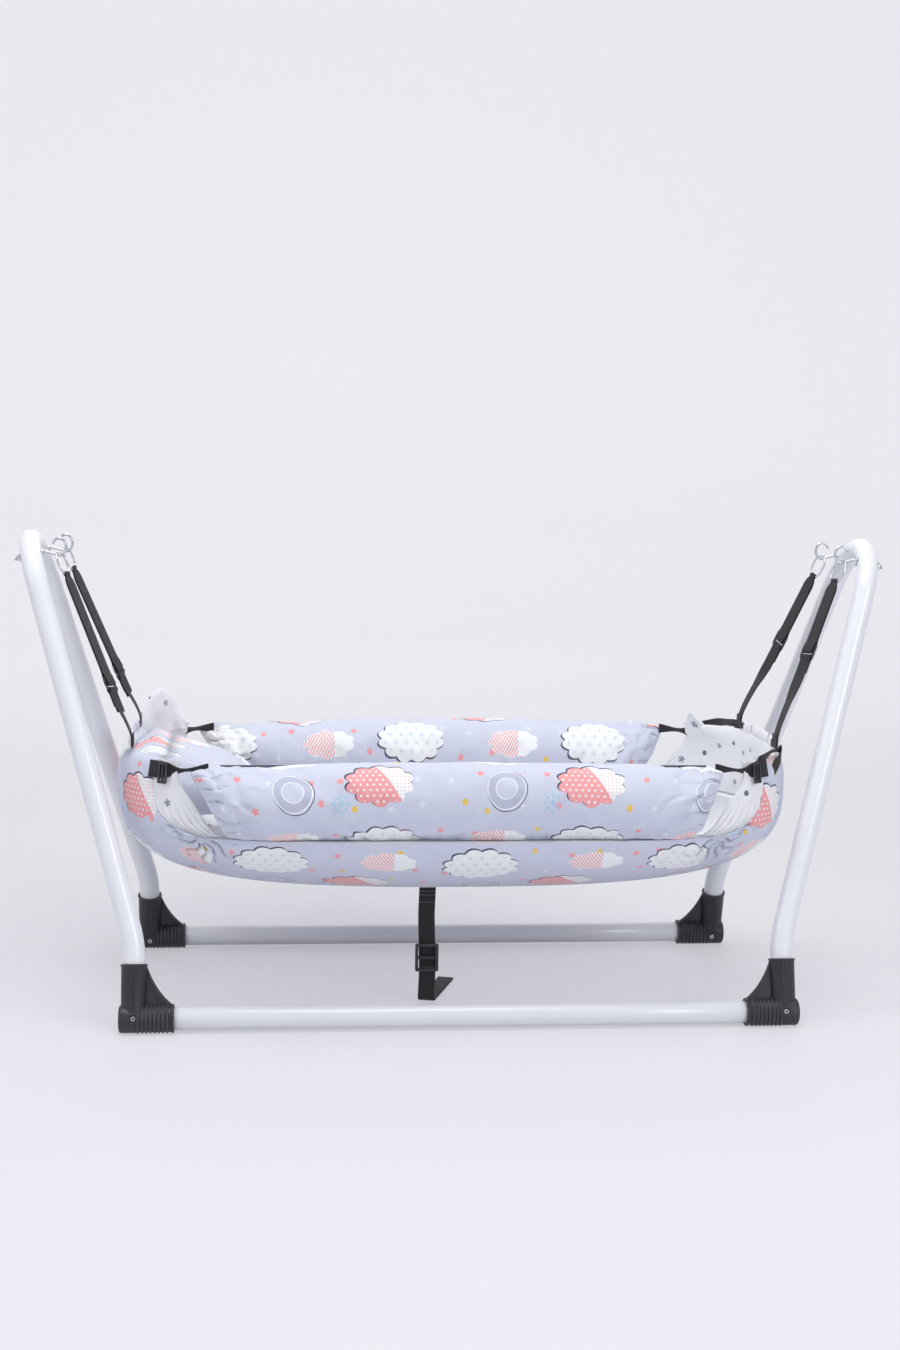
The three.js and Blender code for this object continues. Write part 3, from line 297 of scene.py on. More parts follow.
def medallion_print(tree, into):
    u, v = plane_fields(tree, into["Vector"])
    height = 0.172
    x = (u + (v / height).math("FLOOR") * 0.127).repeat(print_width)
    y = v.repeat(height)

    # small marks, one kind to a cell
    cell_width, cell_height = 0.047, 0.041
    cell_row = (v / cell_height).math("FLOOR")
    cell_u = u + cell_row * 0.019
    spot = add_node(tree, "ShaderNodeCombineXYZ", {"X": (cell_u / cell_width).math("FLOOR"), "Y": cell_row})
    pick = add_node(tree, "ShaderNodeTexWhiteNoise", noise_dimensions="2D")
    feed(tree, pick.inputs["Vector"], spot.outputs[0])
    kind = Field(tree, pick.outputs["Value"])
    mark_x = cell_u.repeat(cell_width) + (kind * 7).repeat(1) * 0.016
    mark_y = v.repeat(cell_height) + (kind * 13).repeat(1) * 0.013
    star = scalloped(mark_x, mark_y, 0.0052, 0.0052, 5, 0.42) < 1
    marks = [(print_white, asterisk(mark_x, mark_y, 0.0062, 6) * (kind < 0.44)),
             (coral, star * (kind > 0.44) * (kind < 0.7)),
             (yellow, (length(mark_x, mark_y) < 0.0041) * (kind > 0.84))]

    # rings with a pale and a dark outline
    ring_x, ring_y = x + 0.058, y + 0.043
    ring, shadow = length(ring_x, ring_y), length(ring_x - 0.0012, ring_y + 0.0014)
    rings = [(linear(188, 193, 212), (ring < 0.0275) * (ring > 0.0145)), (navy, shadow.near(0.0279, 0.0006)),
             (print_white, ring.near(0.0266, 0.0007)), (print_white, ring.near(0.0149, 0.0006))]

    # one broad pale blue asterisk with ringed tips
    flake_x, flake_y = x - 0.006, y + 0.062
    flake = [(pale_blue, asterisk(flake_x, flake_y, 0.0155, 8)),
             (pale_blue, length(flake_x, flake_y).near(0.0098, 0.0007))]

    # a striped oval
    leaf_x, leaf_y = x - 0.103, y - 0.046
    leaf = scalloped(leaf_x, leaf_y, 0.041, 0.023, 9, 0.12)
    stripe = (leaf_x * 0.86 + leaf_y * 0.5).repeat(0.0042) < -0.0002
    leaves = [(print_white, leaf < 1), (coral, (leaf < 0.985) * stripe * (leaf_x < 0.008))]

    # a coral medallion with white dots, one side white with coral dots
    puff_x, puff_y = x - 0.061, y + 0.034
    puff = scalloped(puff_x, puff_y, 0.048, 0.033, 10, 0.15)
    rim = scalloped(puff_x + 0.0012, puff_y - 0.0015, 0.0493, 0.0343, 10, 0.15)
    row = (puff_y / 0.0077).math("FLOOR")
    big_dot = length((puff_x + row * 0.0044).repeat(0.0088), puff_y.repeat(0.0077)) < 0.0017
    small_dot = length(puff_x.repeat(0.0052), puff_y.repeat(0.0052)) < 0.0009
    half = (puff < 1) * (puff_x + puff_y * 0.6 > 0.014)
    puffs = [(navy, (rim < 1) * (puff > 1)), (coral, puff < 1), (print_white, (puff < 0.94) * big_dot),
             (print_white, half), (coral, half * small_dot)]

    # a broad white medallion with small pale blue asterisks
    wide_x, wide_y = x + 0.062, y - 0.04
    wide = scalloped(wide_x, wide_y, 0.054, 0.036, 12, 0.13)
    rim = scalloped(wide_x + 0.0013, wide_y - 0.0016, 0.0553, 0.0373, 12, 0.13)
    seed_x = (wide_x + (wide_y / 0.0135).math("FLOOR") * 0.0085).repeat(0.017)
    seed = asterisk(seed_x, wide_y.repeat(0.0135), 0.0044, 6)
    fleck = length((seed_x + 0.0085).repeat(0.017), (wide_y + 0.003).repeat(0.0135)) < 0.0007
    wides = [(navy, (rim < 1) * (wide > 1)), (print_white, wide < 1), (pale_blue, seed * (wide < 0.84)),
             (yellow, fleck * (wide < 0.84))]
    return {"Color": painted(tree, ground, *marks, *rings, *flake, *leaves, *puffs, *wides)}


def dotted_lining(tree, into):
    """White lining with a few grey dots and stars."""
    u, v = plane_fields(tree, into["Vector"])
    shifted = u + (v / 0.062).math("FLOOR") * 0.031
    dot = length(shifted.repeat(0.078), v.repeat(0.062)) < 0.0043
    star = scalloped((shifted + 0.037).repeat(0.078), (v + 0.014).repeat(0.062), 0.0062, 0.0062, 5, 0.5) < 1
    layers = (linear(112, 116, 132), dot), (linear(158, 162, 176), star)
    return {"Color": painted(tree, linear(240, 241, 245), *layers)}


groups = {
    "weave": effect("plain_weave", weave, {"Height": "Float", "Shade": "Float"}, Threads=0.0007),
    "grain": effect("fine_grain", grain, {"Height": "Float", "Roughness": "Float"}, Scale=400.0,
                    Least_Roughness=0.2, Most_Roughness=0.4),
    "wear": effect("rubbed_edges", edge_wear, {"Mask": "Float"}, Amount=0.5),
    "print": effect("medallion_print", medallion_print, {"Color": "Color"}),
    "dotted": effect("dotted_lining", dotted_lining, {"Color": "Color"})}


# Materials

class Finish:
    """A material under way: its tree, its shader and the coordinates that its patterns read."""

    def __init__(self, name, place, roughness, **weights):
        self.made = bpy.data.materials.new(name)
        self.made.use_nodes = True
        self.tree = self.made.node_tree
        self.shader = self.tree.nodes["Principled BSDF"]
        self.place = add_node(self.tree, "ShaderNodeTexCoord").outputs[place]
        self.set(Roughness=roughness, **weights)

    def set(self, **inputs):
        for name, value in inputs.items():
            feed(self.tree, self.shader.inputs[name.replace("_", " ")], value)

    def group(self, key, **values):
        node = add_node(self.tree, "ShaderNodeGroup", node_tree=groups[key])
        for name, value in {"Vector": self.place, **values}.items():
            feed(self.tree, node.inputs[name.replace("_", " ")], value)
        return node.outputs

    def bump(self, height, distance):
        inputs = {"Height": height, "Distance": distance, "Strength": 1}
        self.set(Normal=add_node(self.tree, "ShaderNodeBump", inputs).outputs["Normal"])


def hard_finish(name, colour, rubbed, scale, least, most, depth, wear, **weights):
    """Paint, plate or moulded plastic, from its least to its most roughness and with rubbed corners."""
    finish = Finish(name, "Object", most, **weights)
    uneven = finish.group("grain", Scale=scale, Least_Roughness=least, Most_Roughness=most)
    mask = finish.group("wear", Amount=wear)["Mask"]
    finish.set(Base_Color=painted(finish.tree, colour, (rubbed, mask)), Roughness=uneven["Roughness"])
    finish.bump(uneven["Height"], depth)
    return finish.made


def cloth_finish(name, pattern):
    finish = Finish(name, "UV", 0.86, Sheen_Weight=0.25)
    woven = finish.group("weave", Threads=0.0007)
    figured = mixed(finish.tree, finish.group(pattern)["Color"], woven["Shade"], 1, "MULTIPLY")
    # painted shade: the cloth is darkened towards blue-grey where the mesh lies in a crease
    crease_shade = add_node(finish.tree, "ShaderNodeAttribute", attribute_name="crease_shade").outputs["Fac"]
    dark = Field(finish.tree, crease_shade) * 0.62
    finish.set(Base_Color=painted(finish.tree, figured, (linear(92, 96, 116), dark)))
    finish.bump(woven["Height"], 0.00022)
    return finish.made


def webbing_finish(name):
    """Black webbing: chevron ribs across it and the threads along it, with a painted highlight on the raised
    ribs.
    """
    finish = Finish(name, "UV", 0.66, Sheen_Weight=0.06)
    u, v = plane_fields(finish.tree, finish.place)
    zigzag = u.repeat(0.0062).math("ABSOLUTE")
    rib = ((v + zigzag) * (2 * math.pi / 0.0019)).math("SINE")
    ply = (u * (2 * math.pi / 0.0011)).math("SINE")
    height = rib * 0.6 + ply * 0.4
    # painted highlight: the raised parts of the ribs are painted lighter
    light = ((height + 1) * 0.5).math("POWER", 2)
    finish.set(Base_Color=painted(finish.tree, linear(13, 13, 15), (linear(44, 44, 49), light)))
    finish.bump(height, 0.00022)
    return finish.made


def thread_finish(name, colour):
    finish = Finish(name, "Object", 0.6, Sheen_Weight=0.3)
    twist = noise_value(finish.tree, finish.place, 2400)
    shaded = tuple(share * 0.72 for share in colour[:3]) + (1,)
    finish.set(Base_Color=painted(finish.tree, colour, (shaded, twist)))
    finish.bump(twist, 0.0001)
    return finish.made


white_paint = hard_finish("white_paint", linear(229, 231, 236), linear(220, 222, 227), scale=260,
                          least=0.27, most=0.3, depth=0.000008, wear=0.05, Coat_Weight=0.3)
black_moulding = hard_finish("black_moulding", linear(40, 39, 45), linear(82, 81, 89), scale=900,
                             least=0.38, most=0.55, depth=0.00005, wear=0.8)
zinc_plate = hard_finish("zinc_plate", linear(206, 209, 214), linear(235, 236, 240), scale=500,
                         least=0.16, most=0.36, depth=0.00002, wear=0.5, Metallic=1)
print_cloth, lining_cloth = cloth_finish("print_cloth", "print"), cloth_finish("lining_cloth", "dotted")
black_webbing = webbing_finish("black_webbing")
black_thread = thread_finish("black_thread", linear(30, 30, 33))
grey_thread = thread_finish("grey_thread", linear(176, 180, 196))
# painted shade: a dark cord that stands in for the shade in the crease along each bolster
dark_piping = thread_finish("dark_piping", linear(70, 74, 92))
surfaces = {"white_paint": "frame_white", "black_moulding": "moulding_black", "zinc_plate": "wire_zinc",
            "print_cloth": "cloth_print", "dark_piping": "cloth_print", "lining_cloth": "cloth_lining",
            "black_webbing": "webbing_black", "black_thread": "webbing_black", "grey_thread": "webbing_black"}


# Meshes: parts are (vertices, faces, places on the cloth or None, material), in millimetres

def ordered(mesh):
    """Doubles merged and every shell's faces turned outwards."""
    shape = bmesh.new()
    shape.from_mesh(mesh)
    bmesh.ops.remove_doubles(shape, verts=shape.verts, dist=0.000002)
    bmesh.ops.dissolve_degenerate(shape, edges=shape.edges, dist=0.000001)
    bmesh.ops.recalc_face_normals(shape, faces=shape.faces)
    shape.to_mesh(mesh)
    shape.free()


def read(values, name, kind=float, width=3):
    """One property of all of a mesh's points or edges, as rows of an array."""
    result = np.empty(len(values) * width, kind)
    values.foreach_get(name, result)
    return result.reshape(-1, width)


def mark_crease_shade(mesh):
    """Stores how far each point lies in a crease, 0 to 1: below the same mesh when it is smoothed. The cloth
    finishes paint shade into the creases from it.
    """
    spots = read(mesh.vertices, "co")
    pairs = read(mesh.edges, "vertices", int, 2)
    first, second = pairs.T
    valence = np.bincount(pairs.ravel(), minlength=len(spots))[:, None]
    smooth = spots.copy()
    for _ in range(7):
        total = np.zeros_like(spots)
        np.add.at(total, first, smooth[second])
        np.add.at(total, second, smooth[first])
        smooth = 0.5 * smooth + 0.5 * total / np.maximum(valence, 1)
    depth = ((smooth - spots) * read(mesh.vertices, "normal")).sum(axis=1) / mm
    layer = mesh.attributes.new("crease_shade", "FLOAT", "POINT")
    layer.data.foreach_set("value", np.clip((depth - 0.12) / 0.8, 0, 1))


def finished(name, mesh, body, replaced=None, crease=None):
    """The mesh as a smooth piece that rides on a body."""
    mesh.polygons.foreach_set("use_smooth", [True] * len(mesh.polygons))
    if crease:
        mesh.set_sharp_from_angle(angle=math.radians(crease))
    made = show(name, mesh)
    surfaces[next(filter(None, mesh.materials)).name]
    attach(made, body)
    if replaced:
        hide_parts(replaced)
    return made


def piece(name, body, parts, replaced=None, crease=60, shade_creases=True):
    verts, faces, places, materials, numbers = [], [], [], [], []
    for part_verts, part_faces, part_places, material in parts:
        faces += [[len(verts) + index for index in face] for face in part_faces]
        verts += [tuple(Vector(corner) * mm) for corner in part_verts]
        places += part_places or [(0, 0)] * sum(len(face) for face in part_faces)
        materials += [material] if material not in materials else []
        numbers += [materials.index(material)] * len(part_faces)
    mesh = bpy.data.meshes.new(name)
    mesh.from_pydata(verts, [], faces)
    mesh.uv_layers.new(name="UVMap").data.foreach_set("uv", (np.array(places, float) * mm).ravel())
    mesh.polygons.foreach_set("material_index", numbers)
    for material in materials:
        mesh.materials.append(material)
    ordered(mesh)
    # cloth pieces get the crease depth from which their finish paints crease shade
    if shade_creases and surfaces[materials[0].name].startswith("cloth"):
        mark_crease_shade(mesh)
    return finished(name, mesh, body, replaced, crease)


def skin(rows, material, places=None, wrap_rows=False, wrap_points=True, capped=True):
    """Quads through rows of points. Where a row or the rows close on themselves, places has one more."""
    count, width = len(rows), len(rows[0])
    faces, where = [], []
    for i in range(count if wrap_rows else count - 1):
        near, far = i * width, (i + 1) % count * width
        for j in range(width if wrap_points else width - 1):
            faces.append([near + j, near + (j + 1) % width, far + (j + 1) % width, far + j])
            if places:
                where += [places[i][j], places[i][j + 1], places[i + 1][j + 1], places[i + 1][j]]
    for row in (0, count - 1) if capped else ():
        for j in range(width // 2 - 1):
            ring = [j, j + 1, width - 2 - j, width - 1 - j]
            faces.append([row * width + index for index in ring])
            if places:
                where += [places[row][index] for index in ring]
    return [corner for row in rows for corner in row], faces, where if places else None, material


def two_sided(columns, material, wrapped=False):
    """A closed skin from columns of front points, the hidden points behind them and their places."""
    rows = [front + hidden[::-1] for front, hidden, _ in columns]
    places = [place + place[::-1] + place[:1] for _, _, place in columns]
    return skin(rows, material, places + places[:1], wrap_rows=wrapped, capped=not wrapped)


def beside(path, i, closed=False):
    """The path's points before and after one of its points."""
    if closed:
        return path[i - 1], path[(i + 1) % len(path)]
    return path[max(i - 1, 0)], path[min(i + 1, len(path) - 1)]


def smooth_path(points, steps):
    """A smooth curve through the points, with as many steps from each to the next."""
    path = []
    for i, (start, end) in enumerate(zip(points, points[1:])):
        before, after = points[max(i - 1, 0)], points[min(i + 2, len(points) - 1)]
        for t in (k / steps for k in range(steps)):
            path.append(0.5 * ((2 * start) + (end - before) * t
                               + (2 * before - 5 * start + 4 * end - after) * t * t
                               + (3 * start - before - 3 * end + after) * t ** 3))
    return path + points[-1:]


def swept(path, radius, facets, material, closed=False):
    """A round bar along a path, with its ends drawn in."""
    rows, aside = [], None
    turns = [2 * math.pi * k / facets for k in range(facets)]
    for i, at in enumerate(path):
        before, after = beside(path, i, closed)
        ahead = (after - before).normalized()
        aside = aside or ahead.orthogonal()
        aside = (aside - ahead * aside.dot(ahead)).normalized()
        other = ahead.cross(aside)
        rows.append([at + radius * (math.cos(turn) * aside + math.sin(turn) * other) for turn in turns])
    if not closed:
        tips = []
        for row, at, inner in ((rows[0], path[0], path[1]), (rows[-1], path[-1], path[-2])):
            nudge = (at - inner).normalized() * radius * 0.2
            tips.append([at + nudge + (corner - at) * 0.72 for corner in row])
        rows = [tips[0]] + rows + [tips[1]]
    return skin(rows, material, wrap_rows=closed, capped=not closed)


def turned(profile, facets, material, turn=Matrix.Identity(4)):
    """A closed turned shape from (radius, height) pairs about Z, whose first and last radius is zero."""
    angles = [2 * math.pi * k / facets for k in range(facets)]
    rows = [[turn @ Vector((radius * math.cos(a), radius * math.sin(a), height)) for a in angles]
            for radius, height in profile]
    return skin(rows, material, capped=False)


def webbing_skin(stations, thickness, closed=False):
    """Webbing through stations (point, direction across, half width), thinner along its woven edges."""
    shares, swell = [-1, -0.97, -0.9, -0.5, 0, 0.5, 0.9, 0.97, 1], [0.35, 0.8, 1, 1, 1, 1, 1, 0.8, 0.35]
    spots = [at for at, _, _ in stations]
    rows, places, run = [], [], 0
    for i, (at, across, half) in enumerate(stations + (stations[:1] if closed else [])):
        before, after = beside(spots, i % len(spots), closed)
        run += (at - spots[i - 1]).length if i else 0
        normal = (after - before).cross(across).normalized() * thickness / 2
        row = [at + across * half * share + normal * full for share, full in zip(shares, swell)]
        row += [at + across * half * share - normal * full for share, full in zip(shares[::-1], swell[::-1])]
        rows.append(row)
        places.append([(half * share, run) for share in shares + shares[::-1] + shares[:1]])
    return skin(rows[:len(spots)], black_webbing, places, wrap_rows=closed, capped=not closed)


def between(first, second, t, ease=None):
    """The webbing station at a share of the way from one station to the next."""
    ease = t if ease is None else ease
    return (first[0].lerp(second[0], t), first[1].lerp(second[1], ease).normalized(),
            first[2] + (second[2] - first[2]) * ease)


def refined(stations, steps):
    """More stations along straight webbing, so that its sides and its weave stay even."""
    return [between(start, end, k / steps) for start, end in zip(stations, stations[1:])
            for k in range(steps)] + stations[-1:]


def eased(t):
    return t * t * (3 - 2 * t)


def smooth_stations(stations, steps):
    """Webbing stations along the smooth curve through the given ones."""
    result = []
    for i, at in enumerate(smooth_path([at for at, _, _ in stations], steps)):
        k = min(i // steps, len(stations) - 2)
        t = i / steps - k
        result.append((at, *between(stations[k], stations[k + 1], t, eased(t))[1:]))
    return result


# Stand: the arches' line and the frames that its pieces share

leg_x, leg_y, rail_height, rail_stop = 471, 245, 19.2, 19.2
lean, flare = math.radians(15), math.radians(16.2)
tube_radius, top_radius = 16, 87
bend_height, bend_half = 120, 25
arch_centre = rail_height + (leg_y * math.cos(lean) - top_radius) / math.sin(lean)
hook_y, hook_reach = 54, 41


def arch_x(height):
    above = height - bend_height
    if abs(above) < bend_half:
        return leg_x + math.tan(flare) * (above + bend_half) ** 2 / (4 * bend_half)
    return leg_x + math.tan(flare) * max(above, 0)


def arch_path(side):
    heights = (13.5, 40, 70, 90, 100, 108, 116, 124, 132, 140, 150, 200, 300, 400, 500, 580)
    leg = [(leg_y - (height - rail_height) * math.tan(lean), height) for height in heights]
    turns = [(math.pi / 2 - lean) * (i / 20 - 1) for i in range(41)]
    top = [(top_radius * math.sin(turn), arch_centre + top_radius * math.cos(turn)) for turn in turns]
    line = [(-y, height) for y, height in leg] + top + leg[::-1]
    return [Vector((side * arch_x(height), y, height)) for y, height in line]


def connector_frame(side, end):
    z = Vector((0, -end * math.sin(lean), math.cos(lean)))
    return framed((side * leg_x, end * leg_y, rail_height), -side * along_x, z.cross(-side * along_x), z)


def hook_pivot(side, end):
    height = arch_centre + top_radius * math.cos(math.asin(hook_y / top_radius))
    return Vector((side * (arch_x(height) - hook_reach), end * hook_y, height))


def hook_frame(side, end):
    z = Vector((side * math.cos(flare), 0, -math.sin(flare)))
    return framed(hook_pivot(side, end) + side * hook_reach * along_x, along_y.cross(z), along_y, z)


# Geometry Nodes: ring-shaped ribs along a sleeve, and stitches along a line

def growth_tree(name, inputs, build):
    """A tree whose instances, made by build, end as real geometry in the material given."""
    inputs = {"Geometry": "Geometry", **inputs, "Material": "Material"}
    tree, into, out = new_tree(name, "GeometryNodeTree", inputs, {"Geometry": "Geometry"})
    real = add_node(tree, "GeometryNodeRealizeInstances", {"Geometry": build(tree, into)})
    inputs = {"Geometry": real.outputs["Geometry"], "Material": into["Material"]}
    feed(tree, out.inputs["Geometry"], add_node(tree, "GeometryNodeSetMaterial", inputs).outputs["Geometry"])
    return tree


def sleeve_ribs(tree, into):
    start = add_node(tree, "ShaderNodeCombineXYZ", {"X": into["Start"]}).outputs[0]
    step = add_node(tree, "ShaderNodeCombineXYZ", {"X": into["Pitch"]}).outputs[0]
    inputs = {"Count": into["Ribs"], "Start Location": start, "Offset": step}
    line = add_node(tree, "GeometryNodeMeshLine", inputs)
    circle = "GeometryNodeCurvePrimitiveCircle"
    hoop = add_node(tree, circle, {"Resolution": 40, "Radius": into["Sleeve Radius"]}).outputs["Curve"]
    section = add_node(tree, circle, {"Resolution": 8, "Radius": into["Rib Radius"]}).outputs["Curve"]
    rib = add_node(tree, "GeometryNodeCurveToMesh", {"Curve": hoop, "Profile Curve": section}).outputs["Mesh"]
    upright = add_node(tree, "GeometryNodeTransform", {"Geometry": rib, "Rotation": (0, math.pi / 2, 0)})
    inputs = {"Points": line.outputs["Mesh"], "Instance": upright.outputs["Geometry"]}
    return add_node(tree, "GeometryNodeInstanceOnPoints", inputs).outputs["Instances"]


def line_stitches(tree, into):
    inputs = {"Curve": into["Geometry"], "Length": into["Spacing"]}
    points = add_node(tree, "GeometryNodeCurveToPoints", inputs, mode="LENGTH").outputs
    grain = add_node(tree, "GeometryNodeMeshUVSphere", {"Segments": 6, "Rings": 4, "Radius": 1})
    turn = add_node(tree, "FunctionNodeAlignRotationToVector", {"Vector": points["Tangent"]}, axis="X")
    inputs = {"Points": points["Points"], "Rotation": turn.outputs["Rotation"],
              "Instance": grain.outputs["Mesh"], "Scale": into["Stitch"]}
    return add_node(tree, "GeometryNodeInstanceOnPoints", inputs).outputs["Instances"]


rib_sizes = {"Ribs": 8, "Pitch": 0.0059, "Start": 0.0065, "Sleeve Radius": 0.0189, "Rib Radius": 0.0022}
stitch_sizes = {"Spacing": 0.0034, "Stitch": (0.0012, 0.00035, 0.00035)}
rib_tree = growth_tree("ribs_along_sleeve", rib_sizes, sleeve_ribs)
stitch_tree = growth_tree("stitches_along_line", stitch_sizes, line_stitches)


def grown(base, tree, material):
    """The plain mesh that a tree makes on an object, which goes."""
    modifier = base.modifiers.new("growth", "NODES")
    modifier.node_group = tree
    known = {item.name: item.identifier for item in tree.interface.items_tree if item.in_out == "INPUT"}
    modifier[known["Material"]] = material
    bpy.context.view_layer.update()
    mesh = bpy.data.meshes.new_from_object(base.evaluated_get(bpy.context.evaluated_depsgraph_get()))
    bpy.data.objects.remove(base)
    return mesh


def stitches(name, body, lines, thread):
    """Rows of stitches along lines of points, as one piece."""
    curve = bpy.data.curves.new(name, "CURVE")
    curve.dimensions = "3D"
    for line in lines:
        spline = curve.splines.new("POLY")
        spline.points.add(len(line) - 1)
        for spot, at in zip(spline.points, line):
            spot.co = (*(at * mm), 1)
    mesh = grown(show(name + "_line", curve), stitch_tree, thread)
    mesh.name = name
    return finished(name, mesh, body)


def add_arch(name, side):
    piece(name + "_tube", "stand", [swept(arch_path(side), tube_radius, 40, white_paint)], name)


def add_rail(name, end):
    reach = leg_x - rail_stop
    line = [Vector((share * reach, end * leg_y, rail_height)) for share in (-1, -0.5, 0, 0.5, 1)]
    piece(name + "_tube", "stand", [swept(line, tube_radius, 48, white_paint)], name)


# the connector's sleeves as (radius, reach), from the closed end to the rim at the mouth and down the bore
sleeve_profile = [
    (0, -21), (15.4, -21), (16.9, -20.7), (18.4, -19.9), (19.3, -18.7), (19.8, -17.2), (19.8, 3.2),
    (19.1, 4.2), (19.1, 52.6), (19.9, 53.6), (20.2, 54.3), (20.5, 54.9), (20.5, 57), (20, 57.5),
    (17.1, 57.5), (16.4, 57), (16.4, rail_stop), (0, rail_stop)]
upright_profile = [
    (0, 0), (18, 0.01), (18.1, 20), (18.4, 72.8), (18.6, 73.4), (19.1, 73.9), (19.5, 74.6), (19.5, 76.4),
    (18.9, 77), (17, 77), (16.4, 76.4), (16.4, 21), (0, 21)]
boss_profile = [(0, 10), (7.6, 10), (7.3, 20.2), (7, 20.6), (5.9, 20.6), (5.5, 20.2), (5.4, 18.3), (0, 18.3)]


def web_part():
    """The web's plate: a concave outer edge with a thicker bead along it."""
    foot, head = Vector((55.6, 0, 19.4)), Vector((18, 0, 75.2))
    bow = foot.lerp(head, 0.5).lerp(Vector((head.x, 0, foot.z)), 0.32)
    rows = []
    for t in (i / 18 for i in range(19)):
        at = foot.lerp(bow, t).lerp(bow.lerp(head, t), t)
        inner = Vector((6, 0, 6 + 54 * t))
        loop = [(at, 1.7), (at.lerp(inner, 0.09), 2.9), (at.lerp(inner, 0.16), 2.5), (inner, 2.5)]
        rows.append([spot + along_y * half for spot, half in loop]
                    + [spot - along_y * half for spot, half in loop[::-1]])
    return skin(rows, black_moulding)


def bar_part(start, end, across):
    """A low bar with rounded shoulders from start to end."""
    rise = (end - start).normalized().cross(across).normalized()
    section = ((-1, -1), (-0.55, 1), (0.55, 1), (1, -1))
    return skin([[start.lerp(end, t) + across * 0.55 * x + rise * 0.6 * z for x, z in section]
                 for t in (0, 0.5, 1)], black_moulding)


def add_connector(name, side, end):
    here = connector_frame(side, end)
    along_rail = Matrix.Rotation(math.pi / 2, 4, "Y")
    outward = up.rotation_difference(along_y * side).to_matrix().to_4x4()
    parts = [turned(sleeve_profile, 48, black_moulding, along_rail),
             turned(upright_profile, 48, black_moulding), web_part(),
             turned(boss_profile, 32, black_moulding, outward)]
    for x in (-2, 2):
        foot, head = Vector((x * 1.7, side * 18.5, 8.5)), Vector((x, side * 18.6, 74))
        parts.append(bar_part(foot, head, along_x * side))
    ribs = grown(show("ribs", bpy.data.meshes.new("ribs")), rib_tree, black_moulding)
    parts.append(([vert.co / mm for vert in ribs.vertices], [list(face.vertices) for face in ribs.polygons],
                  None, black_moulding))
    placed = []
    for verts, *rest in parts:
        spots = [here @ Vector(corner) for corner in verts]
        placed.append(([(at.x, at.y, max(at.z, 0)) for at in spots], *rest))
    piece(name + "_moulding", "stand", placed, name, 38)


def add_hook(name, side, end):
    """A bent wire hook: threaded shank, collar, neck and open loop."""
    here, pivot = hook_frame(side, end), hook_pivot(side, end)
    loop = []
    for i in range(21):
        turn = math.radians(250) * i / 20
        loop.append(pivot + Vector((-side * 10 * math.sin(turn), 0, 12.5 * (1 - math.cos(turn)))))
    shank = [here @ Vector((0, 0, z)) for z in (24.4, 10, -8, -18.3, -20.3)]
    path = smooth_path(shank + [shank[-1].lerp(loop[0], 0.6)] + loop, 3)
    collar = [(0, -18.3), (4.1, -18.3), (4.5, -17.9), (4.5, -16.6), (4.1, -16.3), (0, -16.3)]
    thread = [(0, 21.5)]
    for low in (21.6 + i * 0.28 for i in range(10)):
        thread += [(2, low), (2.12, low + 0.14)]
    thread += [(1.7, 24.7), (0, 24.7)]
    piece(name + "_wire", "stand", [swept(path, 2, 14, zinc_plate), turned(collar, 24, zinc_plate, here),
                                    turned(thread, 20, zinc_plate, here)], name, 45)


# Hangers: each has a frame at its hook's pivot, z up the webbing and y across it

web_half, web_thick = 12.5, 1.4
tab_x, tab_y, tab_z = 479.2, 115, 400
slider_reach = {-1: 204, 1: 146}
ring_half, ring_straight = 14.5, 6


def hanger_frame(side, end):
    pivot = hook_pivot(side, end)
    z = (pivot - Vector((side * tab_x, end * tab_y, tab_z))).normalized()
    y = (along_y - z * along_y.dot(z)).normalized()
    y = Matrix.Rotation(side * math.radians(18), 3, z) @ y
    return framed(pivot, y.cross(z), y, z)


def ring_rise(here):
    y, z = here.col[1].xyz, here.col[2].xyz
    return 3.8 / abs(z.dot(along_x.cross(y).normalized())) + 0.28


def half_turn(height, radius, half, over):
    """Webbing round a bar: over it (1) or under it (-1)."""
    radius *= over
    angles = [math.pi * i / 8 for i in range(9)]
    return [(Vector((radius * math.cos(angle), 0, height + radius * math.sin(angle))), along_y, half)
            for angle in angles]


def placed_stations(here, stations):
    turn = here.to_3x3()
    return [(here @ at, (turn @ across).normalized(), half) for at, across, half in stations]


def add_ring(name, body, here):
    middle = ring_rise(here) - ring_half - ring_straight / 2
    path = []
    for i in range(36):
        angle = 2 * math.pi * i / 36
        lift = math.copysign(ring_straight / 2, math.sin(angle)) if abs(math.sin(angle)) > 0.001 else 0
        height = middle + ring_half * math.sin(angle) + lift
        path.append(here @ Vector((0, ring_half * math.cos(angle), height)))
    piece(name + "_wire", body, [swept(path, 1.5, 12, zinc_plate, True)], name)


def strap_line(stations, share, outset):
    """A line at a share of the webbing's half width, on its face."""
    spots = [at for at, _, _ in stations]
    line = []
    for i, (at, across, half) in enumerate(stations):
        before, after = beside(spots, i)
        line.append(at + across * half * share + (after - before).cross(across).normalized() * outset)
    return line


def lower_fall(start, side, end):
    """From the straight part to the tab: the strap turns until it lies flat there, and ends narrow."""
    plane = side * (tab_x + 0.9)
    bend = Vector((plane, end * tab_y, tab_z + 15))
    turn_from = bend.lerp(start[0], 48 / (bend - start[0]).length)
    stations = []
    for t in (k / 30 for k in range(1, 31)):
        if t <= 0.7:
            at = start[0].lerp(turn_from, t / 0.7)
        else:
            s = (t - 0.7) / 0.3
            at = turn_from.lerp(bend, s).lerp(bend.lerp(bend - up * 13, s), s)
        stations.append((at, start[1].lerp(along_y, eased(t)).normalized(), web_half))
    for height, half in ((0, 12.5), (-4, 12), (-7, 10.5), (-9, 8.2), (-10, 6.3)):
        stations.append((Vector((plane, end * tab_y, tab_z + height)), along_y, half))
    return stations


